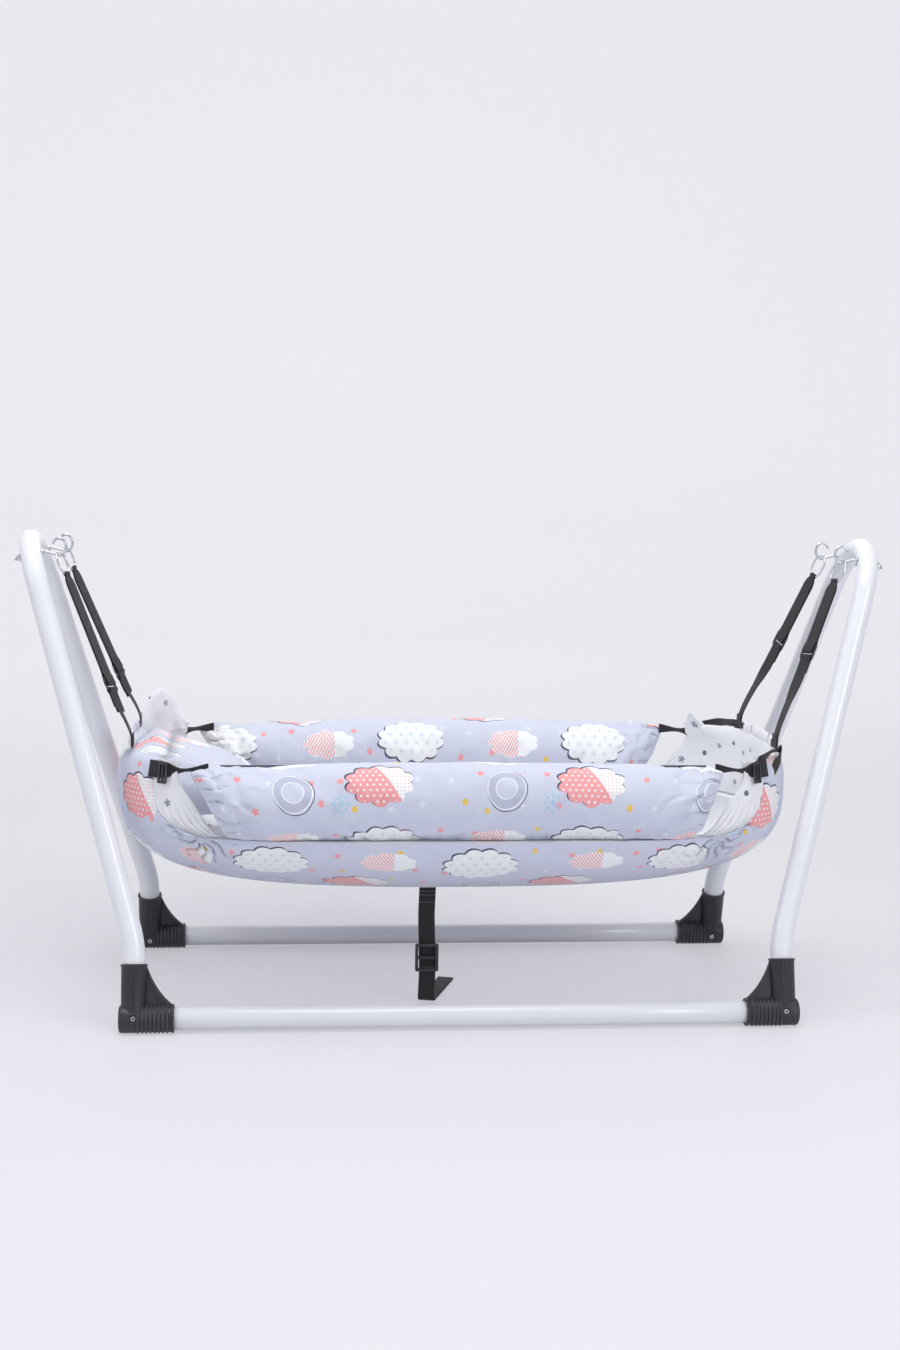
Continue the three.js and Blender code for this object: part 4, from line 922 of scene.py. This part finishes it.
def add_hanger(corner, side, end):
    body = f"{corner}_hanger"
    here = hanger_frame(side, end)
    add_ring(f"{corner}_ring", body, here)
    gather = 6
    top = ring_rise(here) - ring_straight - ring_half - math.sqrt(ring_half ** 2 - gather ** 2)
    bar = -slider_reach[side]
    upper_bar, lower_bar = bar + 9, bar - 9
    down = [(0.95, top - 4, 6.6), (0.85, top - 10, 10.5), (0.85, top - 17, web_half),
            (0.85, upper_bar + 14, web_half), (1.3, upper_bar + 6.5, web_half),
            (2.15, upper_bar + 2, web_half)]
    left = [(Vector((-x, 0, z)), along_y, half) for x, z, half in down]
    right = [(Vector((x, 0, z)), along_y, half) for x, z, half in reversed(down)]
    loop = half_turn(top, 2.65, gather, 1) + refined(left, 4)
    loop += half_turn(bar, 3.1, web_half, -1) + refined(right, 4)
    piece(f"{corner}_upper_webbing", body, [webbing_skin(placed_stations(here, loop), web_thick, True)],
          f"{corner}_upper_strap", 50)

    meet = lower_bar - 6.2
    tail = [(Vector((side * 1.55, 0, z)), along_y, web_half) for z in (lower_bar - 27, meet)]
    straight = [(Vector((0, 0, z)), along_y, web_half) for z in (meet, meet - 30)]
    wrap = half_turn(lower_bar, 3.1, web_half, 1)[::side]
    lower = placed_stations(here, refined(tail, 6) + wrap + straight)
    lower += lower_fall(lower[-1], side, end)
    piece(f"{corner}_lower_webbing", body, [webbing_skin(lower, web_thick)], f"{corner}_lower_strap", 50)

    edges, levels = (-11, 11), (meet - 8, meet - 18)
    seams = [[(x, y, low) for y in edges]
             for low in (top - 24, top - 30, upper_bar + 22) for x in (1.62, -1.62)]
    seams += [[(side * 2.3, y, low) for y in edges] for low in levels]
    seams += [[(side * 2.3, y, low) for low in levels] for y in edges]
    rows = [[here @ Vector(spot) for spot in seam] for seam in seams]
    stitches(f"{corner}_hanger_stitches", body, rows, black_thread)


# Bowl: the same outer form as the solids, from which every soft piece is placed

lowest, waist, widest, rim_top = 167, 275, 345, 392
half_length, half_width = 505, 262
wall_width, rim_power = 376, 1.6
seam = 274.7
quarter = math.pi / 2


def signed_power(value, power):
    return math.copysign(abs(value) ** power, value)


def bowl_point(turn, height):
    below = max(waist - height, 0) / (waist - lowest)
    fall = max(widest - height, 0) / (widest - lowest)
    rise = max(height - widest, 0) / (rim_top - widest)
    long = half_length * max(1 - fall ** 3.3, 0) ** (1 / 3.3) - 15 * rise ** 2
    wide = half_width * math.sqrt(max(1 - below ** 2, 0))
    power = 2 / (3.2 - 0.8 * below)
    x, y = long * signed_power(math.cos(turn), power), wide * signed_power(math.sin(turn), power)
    return Vector((x, y, height))


def bowl_normal(turn, height):
    if height <= lowest + 0.02:
        return -up
    along = bowl_point(turn + 0.01, height) - bowl_point(turn - 0.01, height)
    low = max(height - 0.1, lowest + 0.01)
    return along.cross(bowl_point(turn, low + 0.2) - bowl_point(turn, low)).normalized()


def inside_bowl(turn, height, depth):
    return bowl_point(turn, height) - bowl_normal(turn, height) * depth


def level_out(turn, height):
    """The bowl's outward direction, turned level."""
    out = bowl_normal(turn, height)
    return Vector((out.x, out.y, 0)).normalized()


def turn_at(y):
    return math.copysign(math.asin(min((abs(y) / half_width) ** rim_power, 1)), y)


wall_turn = turn_at(wall_width / 2)
bolster_turn = math.acos((365.3 / 490) ** rim_power)
quarter_turns = [quarter * eased(i / 400) for i in range(401)]


def lengths_along(spots):
    """How far along a line each of its points lies."""
    run = [0]
    for spot, before in zip(spots[1:], spots):
        run.append(run[-1] + (spot - before).length)
    return run


quarter_runs = lengths_along([bowl_point(turn, waist) for turn in quarter_turns])


def unfolded(run, fold):
    """A run in the plan's first quarter, as the run in a later one: every second quarter is mirrored."""
    return (fold + 1) * quarter_runs[-1] - run if fold % 2 else fold * quarter_runs[-1] + run


def run_of(turn):
    """How far round the bowl's plan a turn lies, from +X towards +Y."""
    fold = math.floor(turn / quarter)
    rest = turn - fold * quarter
    return unfolded(float(np.interp(quarter - rest if fold % 2 else rest, quarter_turns, quarter_runs)), fold)


def round_turns(coarse, fine):
    """Turns all round the bowl, closer together near the four corners."""
    runs, at, corner = [0], 0, run_of(bolster_turn)
    while at < quarter_runs[-1]:
        at += fine + (coarse - fine) * min(max((abs(at - corner) - 45) / 60, 0), 1)
        runs.append(min(at, quarter_runs[-1]))
    first = [float(np.interp(run, quarter_runs, quarter_turns)) for run in runs]
    half = first + [math.pi - turn for turn in first[-2::-1]]
    return half + [math.pi + turn for turn in half[1:-1]]


meridians = {}


def cloth_place(turn, height):
    """A point of the outer cloth: how far round the plan it lies and how far up the face."""
    key = round(turn, 6)
    if key not in meridians:
        heights = [lowest + (rim_top - lowest) * (i / 60) ** 2 for i in range(61)]
        run = lengths_along([bowl_point(turn, level) for level in heights])
        seam_reach = float(np.interp(seam, heights, run))
        meridians[key] = (heights, [reach - seam_reach for reach in run])
    at = bowl_point(turn, height)
    by_side = run_of(math.acos(min(abs(at.x) / half_length, 1) ** rim_power))
    by_end = run_of(math.asin(min(abs(at.y) / half_width, 1) ** rim_power))
    run = by_side + (by_end - by_side) * eased(min(max((abs(at.x) - 330) / 110, 0), 1))
    return unfolded(run, math.floor(turn / quarter + 1e-9)), float(np.interp(height, *meridians[key]))


def gathers(turn, height):
    """How deep the creases are that run out of the point where wall, bolster and belly are drawn in."""
    folded = abs((turn + math.pi) % (2 * math.pi) - math.pi)
    run, rise = cloth_place(min(folded, math.pi - folded), height)
    aside = run - run_of(bolster_turn * 0.985)
    reach = math.hypot(aside, rise)
    if reach > 110:
        return 0
    aim = math.atan2(-rise, aside) + 0.25 * math.sin(reach / 11)
    fold = (1 - abs(math.sin(5.2 * aim + 0.5))) ** 1.7
    return reach / 17 * math.exp(1 - reach / 17) * (6.2 * fold - 1.5)


def ruck(at, size, seed):
    """Smooth unevenness of cloth, between -1 and 1."""
    return noise.noise(at / size + Vector((seed, seed * 2.3, 0)))


def add_sling():
    """The belly: side cloth with its creases, a bottom panel and the lining inside."""
    shares = [0, 0.004, 0.016, 0.036, 0.062, 0.092] + [0.125 + 0.875 * (i / 40) for i in range(41)]
    panel = 5
    panel_height = lowest + shares[panel] * (seam - lowest)
    outer, places, inner, inner_places = [], [], [], []
    for turn in round_turns(11, 2.6):
        welt = (abs(math.sin(turn)) - math.sin(wall_turn)) / (math.sin(bolster_turn) - math.sin(wall_turn))
        row, place, inside = [], [], []
        for share in shares:
            height = lowest + share * (seam - lowest)
            at = bowl_point(turn, height)
            swell = 1.2 * ruck(at, 130, 3) * share - gathers(turn, height) - 0.9
            swell -= 1.1 * math.exp(-abs(height - panel_height) / 1.2)
            row.append(at + bowl_normal(turn, height) * swell if share else at + up * 0.9)
            place.append(cloth_place(turn, height))
            at = inside_bowl(turn, height, 12 + 15 * min(max(welt, 0), 1) * share ** 4)
            inside.append(Vector((at.x, at.y, min(at.z, seam))))
        outer.append(row)
        places.append(place)
        inner.append(row[-1:] + inside[::-1])
        inner_places.append([(at.x, at.y) for at in inner[-1]])
    last = [(run + run_of(2 * math.pi), rise) for run, rise in places[0]]
    below = [[(at.x, -at.y) for at in row[:panel + 1]] for row in outer]
    above = [row[panel:] for row in places + [last]]
    open_round = {"wrap_rows": True, "wrap_points": False, "capped": False}
    parts = [skin([row[:panel + 1] for row in outer], print_cloth, below + below[:1], **open_round),
             skin([row[panel:] for row in outer], print_cloth, above, **open_round),
             skin(inner, lining_cloth, inner_places + inner_places[:1], **open_round)]
    piece("sling_cloth", "cradle", parts, "sling_body")


def inflated(made, pinned):
    """Swells the piece by cloth simulation with pressure inside, moving no point further than the most."""
    pressure, most = 4, 5 * mm
    mesh = made.data
    before = read(mesh.vertices, "co")
    held = made.vertex_groups.new(name="seams")
    held.add([vert.index for vert in mesh.vertices if pinned(vert.co / mm)], 1, "REPLACE")
    cloth = made.modifiers.new("stuffing", "CLOTH")
    stuffing = {"vertex_group_mass": "seams", "quality": 6, "use_pressure": True,
                "uniform_pressure_force": pressure, "shrink_min": -0.03}
    for name, value in stuffing.items():
        setattr(cloth.settings, name, value)
    cloth.settings.effector_weights.gravity = 0
    cloth.collision_settings.use_collision = False
    for step in range(1, 21):
        bpy.context.scene.frame_set(step)
    stuffed = made.evaluated_get(bpy.context.evaluated_depsgraph_get()).to_mesh()
    moved = read(stuffed.vertices, "co") - before
    reach = np.maximum(np.linalg.norm(moved, axis=1, keepdims=True), 1e-9)
    moved *= np.minimum(most / reach, 1)
    made.modifiers.remove(cloth)
    made.vertex_groups.remove(held)
    bpy.context.scene.frame_set(1)
    mesh.vertices.foreach_set("co", (before + moved).ravel())
    mesh.update()


bolster_y, bolster_z, bolster_wide, bolster_tall = 230, 327, 50, 52
bolster_half, sewn_from = 366, 350
# how far the top of a bolster's end leans out, and how far the whole end lies out, at the left and the right
bolster_leans = {-1: (23, 1), 1: (17, -9)}


def end_shift(side, z):
    slope, out = bolster_leans[side]
    return slope * z + out


def add_bolster(name, end):
    """A stuffed roll whose ends are sewn flat in slanting seams, with creases running from them."""
    rows, places = [], []
    count, around = 150, 120
    for i in range(count + 1):
        share = math.sin(math.pi * (i / count - 0.5))
        side = math.copysign(1, share)
        close = (1 - abs(share)) * bolster_half
        width = bolster_wide * (0.07 + 0.93 * math.sqrt(1 - max(1 - close / 42, 0) ** 2.4))
        tall = bolster_tall * (0.8 + 0.2 * math.sqrt(1 - max(1 - close / 60, 0) ** 2))
        waver = 1 + 0.012 * ruck(Vector((bolster_half * share, end * 50, 0)), 90, 5)
        row, place = [], []
        for angle in (2 * math.pi * (k + 0.5) / around for k in range(around + 1)):
            place.append((bolster_half * share - end * 37, end * (51 * (angle - 1.5 * math.pi) + 60)))
            y, z = signed_power(math.cos(angle), 0.92), signed_power(math.sin(angle), 0.92)
            wander = angle + 0.06 * math.sin(close / 9 + 5 * angle) * side
            crease = (1 - abs(math.sin(6.5 * wander + 0.8 * share))) ** 1.9
            fine = (1 - abs(math.sin(11 * wander + 2))) ** 1.6
            fold = 6.5 * crease * math.exp(-close / 30) + 3 * fine * math.exp(-close / 13) - 1
            lift = 56 * max(abs(share) - 0.5, 0) ** 1.5 * max(-end * y, 0) * max(-z, 0)
            at = Vector(((bolster_half + 1) * share + side * end_shift(side, z) * math.exp(-close / 60),
                         end * bolster_y + width * waver * y, bolster_z + tall * waver * z + lift))
            swell = 1.2 * ruck(at, 60, 7) + 0.55 * ruck(at, 22, 9)
            outset = swell * min(close / 12, 1) - fold * (0.35 + 0.65 * min(width / 40, 1))
            at += Vector((0, y, z)).normalized() * outset
            at.y -= end * max(3 * math.sin(close / 7 + 2 * z) * math.exp(-close / 10), -1)
            at.z = max(at.z, seam + 0.8)
            row.append(at)
        rows.append(row[:-1])
        places.append(place)
    made = piece(name + "_cloth", "cradle", [skin(rows, print_cloth, places)], name)

    def sewn(at):
        shift = end_shift(math.copysign(1, at.x), (at.z - bolster_z) / 42)
        return abs(at.x) > sewn_from + shift or at.z < seam + 2

    inflated(made, sewn)
    # painted shade: a thin dark cord laid where the bolster's crease is in shade, on top of the front one and
    # low on the inner side of the back one
    angle = math.radians(80 if end < 0 else -40)
    y, z = end * (bolster_y - 50.4 * math.cos(angle)), bolster_z + 52.6 * math.sin(angle)
    line = [Vector((sewn_from * (i / 30 - 1), y, z)) for i in range(61)]
    piece(name + "_piping", "cradle", [swept(line, 1.5, 10, dark_piping)])


def rim_height(turn):
    y = abs(math.sin(turn)) ** (1 / rim_power) * 2 * half_width
    return rim_top - 7 * (y / wall_width) ** 2


def edge_turn(share):
    """The turn of an end wall's edge at a share of its height: its foot runs on to the bolster."""
    reach = 0.95 * math.exp(-share / 0.16) - 0.12 * math.sin(math.pi * share)
    return wall_turn + (bolster_turn - wall_turn) * reach


def wall_turn_at(across, share):
    """The turn at a share across the wall, between its middle (0) and its edge (1)."""
    body = 0.74
    start = turn_at(wall_width / 2 * min(across, body) * 1.08)
    return start + (edge_turn(share) - start) * max(across - body, 0) / (1 - body)


# where the print starts on the left wall, so that a medallion lies on its front part
wall_print_shift = (209 - 2 * run_of(quarter) - 170) % (print_width / mm)
wall_foot = 275


def wall_row(position, side, shares):
    """One upright section of an end wall: its outer and its inner points with their places."""
    across = abs(position)
    edge = max((across - 0.9) / 0.1, 0)
    flip = Vector((side, 1, 1))
    outer, places, inner, inner_places = [], [], [], []
    for share in shares:
        turn = math.copysign(wall_turn_at(across, share), position)
        height = wall_foot + share * (rim_height(turn) - wall_foot)
        rolled = max((share - 0.9) / 0.1, 0) ** 2.2
        swell = 1.3 * ruck(bowl_point(turn, height), 60, 11)
        swell += (1.6 * (1 - abs(2 * share - 1) ** 2.5) - 0.9) * (1 - across ** 6)
        swell -= 1.6 * edge ** 2 + 0.9 * edge * (1 + math.cos(height * 0.3 + 1)) + gathers(turn, height)
        outer.append(inside_bowl(turn, height, 4.2 * rolled - swell) * flip)
        run, rise = cloth_place(turn, height)
        left_place = run_of(math.pi) - run + wall_print_shift, rise
        places.append((run + 108, rise + 14) if side > 0 else left_place)
        crown = (1 - abs(2 * share - 1) ** 3) * (1 - across ** 4)
        past = max((across - 0.8) / 0.2, 0) * (1 - share)
        at = inside_bowl(turn, height, (9 + 12.5 * crown - 3.4 * rolled) * (1 - 0.6 * past))
        at += bowl_normal(turn, height) * 0.8 * ruck(at, 34, 13)
        inner.append(at * flip)
        inner_places.append((at.y * 1.15 + 31, height * 1.1))
    return outer, places, inner[::-1], inner_places[::-1]


def add_end_wall(name, side):
    shares = [(i / 34) ** 1.25 for i in range(35)]
    rows, places, inner, inner_places = [], [], [], []
    for i in range(129):
        outer_row, place, inner_row, inner_place = wall_row(i / 64 - 1, side, shares)
        rows.append(outer_row + inner_row[:1])
        places.append(place + [(place[-1][0], place[-1][1] + 8)])
        inner.append(inner_row + outer_row[:1])
        inner_places.append(inner_place + [(inner_place[-1][0], inner_place[-1][1] - 9)])
    sheet = {"wrap_points": False, "capped": False}
    parts = [skin(rows, print_cloth, places, **sheet), skin(inner, lining_cloth, inner_places, **sheet)]
    for index in (0, -1):
        strip = [[near, far] for near, far in zip(rows[index][:-1], inner[index][-2::-1])]
        where = [[(0, j * 5), (9, j * 5)] for j in range(len(shares))]
        parts.append(skin(strip, print_cloth, where, **sheet))
    piece(name + "_cloth", "cradle", parts, name)


def gusset_end(lift):
    """How far towards the bolster the gusset reaches: it slants away from the bolster higher up."""
    return 1.0 - 0.6 / (1 + math.exp(-(lift - 0.52) / 0.13)) + 0.3 * math.exp(-lift / 0.12)


def add_gusset(name, side, end):
    """Gathered lining between an end wall and a bolster. Its bolster side slants, and stands open above."""
    peak = {(-1, 1): 2, (1, 1): 20}.get((side, end), -4)
    foot = 277.9
    flip = Vector((side, end, 1))
    columns = []
    for across in (i / 60 for i in range(61)):
        row, hidden, place = [], [], []
        for lift in (j / 40 for j in range(41)):
            wall_side = (edge_turn(lift) - wall_turn) / (bolster_turn - wall_turn) - 0.09
            share = wall_side + (gusset_end(lift) - wall_side) * across
            turn = wall_turn + (bolster_turn - wall_turn) * share
            top = 385 + peak * math.exp(-((across - 0.42) / 0.3) ** 2)
            height = foot + lift * (top - foot)
            level = min(height, 398)
            gather = 1.7 * math.exp(-lift * 3.4) + 0.5 * math.exp(-(1 - lift) * 7)
            wander = across * 7.5 + 0.7 * math.sin(lift * 5 + 4 * across) + 0.8 * across * lift
            pleat = 2.3 * gather * (abs(math.sin(math.pi * wander)) - 0.5)
            billow = 3.2 * math.sin(math.pi * min(lift * 1.1, 1)) * math.sin(math.pi * across)
            normal = bowl_normal(turn, level)
            at = inside_bowl(turn, level, 3.4 - pleat - billow * 0.6)
            at += normal * 0.9 * ruck(at, 17, 17)
            rise = (up - normal * 0.22) * (height - level)
            row.append((at + rise) * flip)
            hidden.append((inside_bowl(turn, level, 6.8 - pleat * 0.7) + rise) * flip)
            place.append((run_of(turn) + 55 * end + 13 * side, height - 305))
        columns.append((row, hidden, place))
    piece(name + "_cloth", "cradle", [two_sided(columns, lining_cloth)], name)


def add_flap():
    """The corner of the lining that stands up, drawn together, inside the back left hanger."""
    start, stop = turn_at(84), wall_turn + (bolster_turn - wall_turn) * 0.3
    flip = Vector((-1, 1, 1))
    columns = []
    for along in (i / 60 for i in range(61)):
        turn = start + (stop - start) * along
        tall = 13 + 51 * math.sin(math.pi * along ** 1.25) * (0.96 + 0.04 * math.sin(9 * along + 1))
        out = level_out(turn, 384)
        base = inside_bowl(turn, 384, 8)
        thin = math.sqrt(math.sin(math.pi * (0.06 + 0.88 * along)))
        row, hidden, place = [], [], []
        for lift in (j / 30 for j in range(31)):
            pleat = 2.2 * math.exp(-lift * 3) * math.sin(26 * along + 3 * lift + 2 * math.sin(6 * along))
            bow = 3 * lift ** 1.6 - 3 * math.sin(math.pi * along) * math.sin(math.pi * lift * 0.8)
            thick = 1.9 * math.sqrt(max(1 - lift ** 6, 0)) * thin
            at = base + up * (tall * lift - 8 * (1 - lift)) + out * (pleat + bow)
            at += out * (3.2 * ruck(at, 30, 31) + 1.1 * ruck(at, 13, 33)) * min(lift * 3, 1)
            row.append((at + out * thick) * flip)
            hidden.append((at - out * thick) * flip)
            place.append((run_of(turn) + 24, tall * lift * 1.15 + 33))
        columns.append((row, hidden, place))
    piece("back_left_lining_flap", "cradle", [two_sided(columns, lining_cloth)])


def add_pad():
    """The thin mattress, with a rolled edge that is a little thicker than its middle."""
    columns = []
    for turn in round_turns(13, 13):
        low, high = [], []
        for share in ((i / 16) ** 1.4 for i in range(17)):
            height = lowest + share * 43
            low.append(inside_bowl(turn, height, 12.5))
            thick = 18 - 12 * share ** 3 + 1.5 * math.exp(-((share - 0.9) / 0.08) ** 2)
            over = inside_bowl(turn, height, 12.5 + thick - 4 * max(share - 0.92, 0) / 0.08)
            high.append(over + up * 0.8 * ruck(over, 70, 19))
        columns.append((low, high, [(at.x, at.y) for at in low]))
    parts = [two_sided(columns, lining_cloth, True)]
    piece("mattress_pad_cloth", "cradle", parts, "mattress_pad", shade_creases=False)


def add_pillow():
    """The padded piece inside the left end, in the print, that runs down onto the mattress."""
    turns = [turn_at(wall_width / 2 * (i / 36 - 1) * 5 / 6) for i in range(73)]
    steps = [j / 13 for j in range(1, 13)]
    rows, places = [], []
    for turn in turns:
        across = abs(turn / turns[0])
        back, front = [], []
        for s in (j / 32 for j in range(33)):
            share = 0.1 + 0.8 * s
            height = wall_foot + share * (rim_height(turn) - wall_foot)
            crown = (1 - abs(2 * share - 1) ** 3) * (1 - abs(turn / wall_turn) ** 4)
            back.append(inside_bowl(turn, height, 10.4 + 13 * crown))
            edge = max((1 - abs(2 * s - 1) ** 5) * (1 - across ** 9), 0)
            push = 178 * 2.36 * math.sqrt(share) * (1 - share) ** 0.9 * (1 - across ** 3)
            push += 3 + 10 * math.sqrt(edge)
            spot = back[-1] - along_x * push
            front.append(spot + Vector((-0.6, 0, 0.7)) * 1.6 * ruck(spot, 42, 23) * edge)
        swell = up * 9 * (1 - across ** 4)
        ridge = [back[-1].lerp(front[-1], step) + swell * math.sin(math.pi * step) for step in steps]
        gap = (back[-1] - front[-1]).length
        place = [(150 - run, at.y * 1.05 + 62) for run, at in zip(lengths_along(front), front)]
        edge_place, aside = place[-1]
        ridge_place = [(edge_place - gap * (1 - step), aside) for step in steps]
        back_place = [(edge_place - gap - (back[-1] - at).length, where[1]) for at, where in zip(back, place)]
        rows.append([Vector((-at.x, at.y, at.z)) for at in back + ridge + front[::-1]])
        places.append(back_place + ridge_place + place[::-1] + back_place[:1])
    made = piece("head_pillow_cloth", "cradle", [skin(rows, print_cloth, places)], "head_pillow")
    inflated(made, lambda at: abs(at.y) > 152 or at.x < -470)


def hem_stations(side):
    """The hem webbing's stations, from the front tab to the back one."""
    half = []
    for y in (i / 16 * (tab_y - 36) for i in range(17)):
        at = inside_bowl(turn_at(y), rim_height(turn_at(y)), 4.5)
        half.append((at.x, y, at.z + 1.1, 10))
    plane, foot = tab_x - 0.9, half[-1][2]
    half += [(plane, tab_y - 20, foot, 10), (plane, tab_y - 13, foot, 13)]
    for share, fall in ((-0.97, 0.06), (-0.9, 0), (0, 0), (0.5, 0), (0.82, 0.12), (1, 0.3)):
        half.append((plane, tab_y + share * 12, foot, 411 - foot - 11 * fall))
    line = [(x, -y, foot, height) for x, y, foot, height in half[:0:-1]] + half
    return [(Vector((side * x, y, foot + height / 2)), up, height / 2) for x, y, foot, height in line]


def casing_part(side, start, stop, cloth):
    """One stretch of the cloth casing round the hem webbing, drawn in at its ends."""
    steps = max(int((stop - start) / 3), 4)
    rows, places = [], []
    for i in range(steps + 1):
        y = start + (stop - start) * i / steps
        turn = turn_at(y)
        out = level_out(turn, rim_height(turn) - 2)
        at = inside_bowl(turn, rim_height(turn), 4.5)
        drawn = 1 - 0.35 * math.exp(-min(i, steps - i) * 0.9)
        row = []
        for k in range(14):
            angle = 2 * math.pi * k / 14
            wave = 1 + 0.07 * ruck(Vector((y, k * 9, side * 40)), 9, 29)
            spot = at + out * 2.9 * drawn * wave * math.cos(angle)
            spot += up * (4.6 + 8.4 * wave * signed_power(math.sin(angle), 0.8))
            row.append(spot * Vector((side, 1, 1)))
        rows.append(row)
        places.append([(run_of(turn) + 150, 96 + k * 2) for k in range(15)])
    return skin(rows, cloth, places)


def add_hem(name, side, cloth):
    """Webbing on the wall's edge, which ends in the tabs, and the cloth casing round it."""
    piece(name + "_band", "cradle", [webbing_skin(hem_stations(side), web_thick)], name, 50)
    rows = []
    for end in (-1, 1):
        edges = (tab_y - 9.5, tab_y + 9.5)
        lines = [[(y, z) for y in edges] for z in (394, 404)] + [[(y, z) for z in (394, 404)] for y in edges]
        rows += [[Vector((side * (tab_x - 1.75), end * y, z)) for y, z in line] for line in lines]
    stitches(name + "_stitches", "cradle", rows, black_thread)
    parts = [casing_part(side, start, stop, cloth) for start, stop in ((-93, -57), (-51, 49), (54, 94))]
    piece(name.replace("webbing", "casing"), "cradle", parts, crease=50)


def loose_tail(end):
    """The free end of a right corner's webbing: folded over the wall's edge, it lies along the hem."""
    spots = [(1, 378, 2.8, 10, 84), (0.92, 386, 3.2, 9, 64), (0.8, 391.5, 3.4, 7, 42),
             (0.69, 391.5, 5, 6, 66), (0.67, 386, 8, 6.5, 84), (0.74, 377, 8.5, 8, 96),
             (0.83, 366, 7, 9, 100), (0.9, 354, 5, 9.5, 96)]
    flip = Vector((1, end, 1))
    stations = []
    for across, level, outset, half, tilt in spots:
        turn = turn_at(wall_width / 2 * across)
        at = inside_bowl(turn, 385, -outset)
        tilt = math.radians(tilt)
        direction = level_out(turn, 385) * math.cos(tilt) + up * math.sin(tilt)
        stations.append((Vector((at.x, at.y, level)) * flip, direction * flip, half))
    return smooth_stations(stations, 6)


def add_corner_strap(name, side, end):
    """Webbing that closes the corner: wide at the wall, folded narrow and twisted towards the bolster."""
    flip = Vector((side, end, 1))
    first, last = wall_turn - 0.06, bolster_turn - 0.3 / 245
    stations = []
    for share in (i / 28 for i in range(29)):
        turn = first + (last - first) * share
        level = 369 + 6 * share - 2 * math.sin(math.pi * share)
        normal = bowl_normal(turn, level)
        rise = normal.cross(up.cross(normal)).normalized()
        twist = math.radians(64) * math.exp(-((share - 0.66) / 0.2) ** 2)
        across = rise * math.cos(twist) + normal * math.sin(twist)
        half = 12.4 - 7.6 * math.exp(-((share - 0.72) / 0.26) ** 2) - 2.5 * share ** 3
        stations.append((inside_bowl(turn, level, -1.9 + 17 * share ** 2.2) * flip, across * flip, half))
    bands = [stations] + ([loose_tail(end)] if side > 0 else [])
    piece(name + "_band", "cradle", [webbing_skin(band, web_thick) for band in bands], name, 50)
    out = bowl_normal(wall_turn, 374.5) * flip * 0.95
    rows = [[stations[i][0] + stations[i][1] * 10.5 * k + out for k in (-1, 0, 1)] for i in (2, 5)]
    stitches(name + "_stitches", "cradle", rows, black_thread)


def fixing_layers():
    """The two layers of the webbing that hangs from the belly, bends and lies along the floor."""
    x, y, bend, top = -42, -102, 7, 175.3
    foot = 1.7 + bend
    lean_to = Vector((42, 127, 0)).normalized()
    lying = lean_to.cross(up)
    stations = []
    for i in range(31):
        height = top + (foot - top) * i / 30
        sway = 1.2 * math.sin(height / 31) * min(max(175 - height, 0) / 40, 1) * min(height / 40, 1)
        stations.append((Vector((x + sway, y, height)), along_x, web_half))
    for i in range(1, 11):
        angle = quarter * i / 10
        at = Vector((x, y, foot)) + lean_to * bend * (1 - math.cos(angle)) - up * bend * math.sin(angle)
        stations.append((at, along_x.lerp(lying, i / 10).normalized(), web_half))
    start = stations[-1][0]
    for i in range(1, 21):
        at = start.lerp(Vector((0, 25, start.z)), i / 20)
        stations.append((at + up * 0.5 * math.sin(i * 0.9) ** 2, lying, web_half))
    spots = [at for at, _, _ in stations]
    layers = []
    for layer in (0.78, -0.78):
        laid = []
        for i, (at, across, half) in enumerate(stations):
            before, after = beside(spots, i)
            offset = (after - before).cross(across).normalized() * layer
            laid.append((at + offset, across, half - 0.15 * (layer < 0)))
        layers.append(laid)
    return layers


def add_fixing():
    """The fixing strap, with its edge stitching and light bar tacks."""
    layers = fixing_layers()
    made = piece("fixing_strap_webbing", "cradle", [webbing_skin(layer, 1.42) for layer in layers],
                 "fixing_strap", 50)
    outsets = 0.76, -0.76
    rows = [strap_line(layer, share, outset)[1:]
            for layer, outset in zip(layers, outsets) for share in (-0.86, 0.86)]
    thread = stitches("fixing_strap_stitches", "cradle", rows, black_thread)
    bars = []
    for height in (171, 162, 152, 54, 47):
        for layer, outset in zip(layers, outsets):
            at, across, half = min(layer[:31], key=lambda station: abs(station[0].z - height))
            bars.append([at + across * half * k * 0.86 - along_y * outset for k in (-1, 0, 1)])
    light = stitches("fixing_strap_bartacks", "cradle", bars, grey_thread)
    for each in (made, thread, light):
        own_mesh(each)


def finish_nodes():
    """The CAD nodes that keep their shape get the finer materials."""
    finishes = {"slider": black_moulding, "buckle": black_moulding, "bolt": zinc_plate, "nut": zinc_plate}
    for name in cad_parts:
        for slot in bpy.data.objects[name].material_slots:
            slot.material = finishes.get(name.split("_")[-1], slot.material)


add_camera()
add_studio()
for side_name, side in sides.items():
    add_arch(f"{side_name}_arch", side)
    add_end_wall(f"{side_name}_end_wall", side)
    add_hem(f"{side_name}_hem_webbing", side, print_cloth if side < 0 else lining_cloth)
    for end_name, end in ends.items():
        corner = f"{end_name}_{side_name}"
        add_connector(f"{corner}_connector", side, end)
        add_hook(f"{corner}_hook", side, end)
        add_hanger(corner, side, end)
        add_gusset(f"{corner}_gusset", side, end)
        add_corner_strap(f"{corner}_corner_strap", side, end)
for end_name, end in ends.items():
    add_rail(f"{end_name}_rail", end)
    add_bolster(f"{end_name}_bolster", end)
add_sling()
add_pad()
add_pillow()
add_flap()
add_fixing()
finish_nodes()
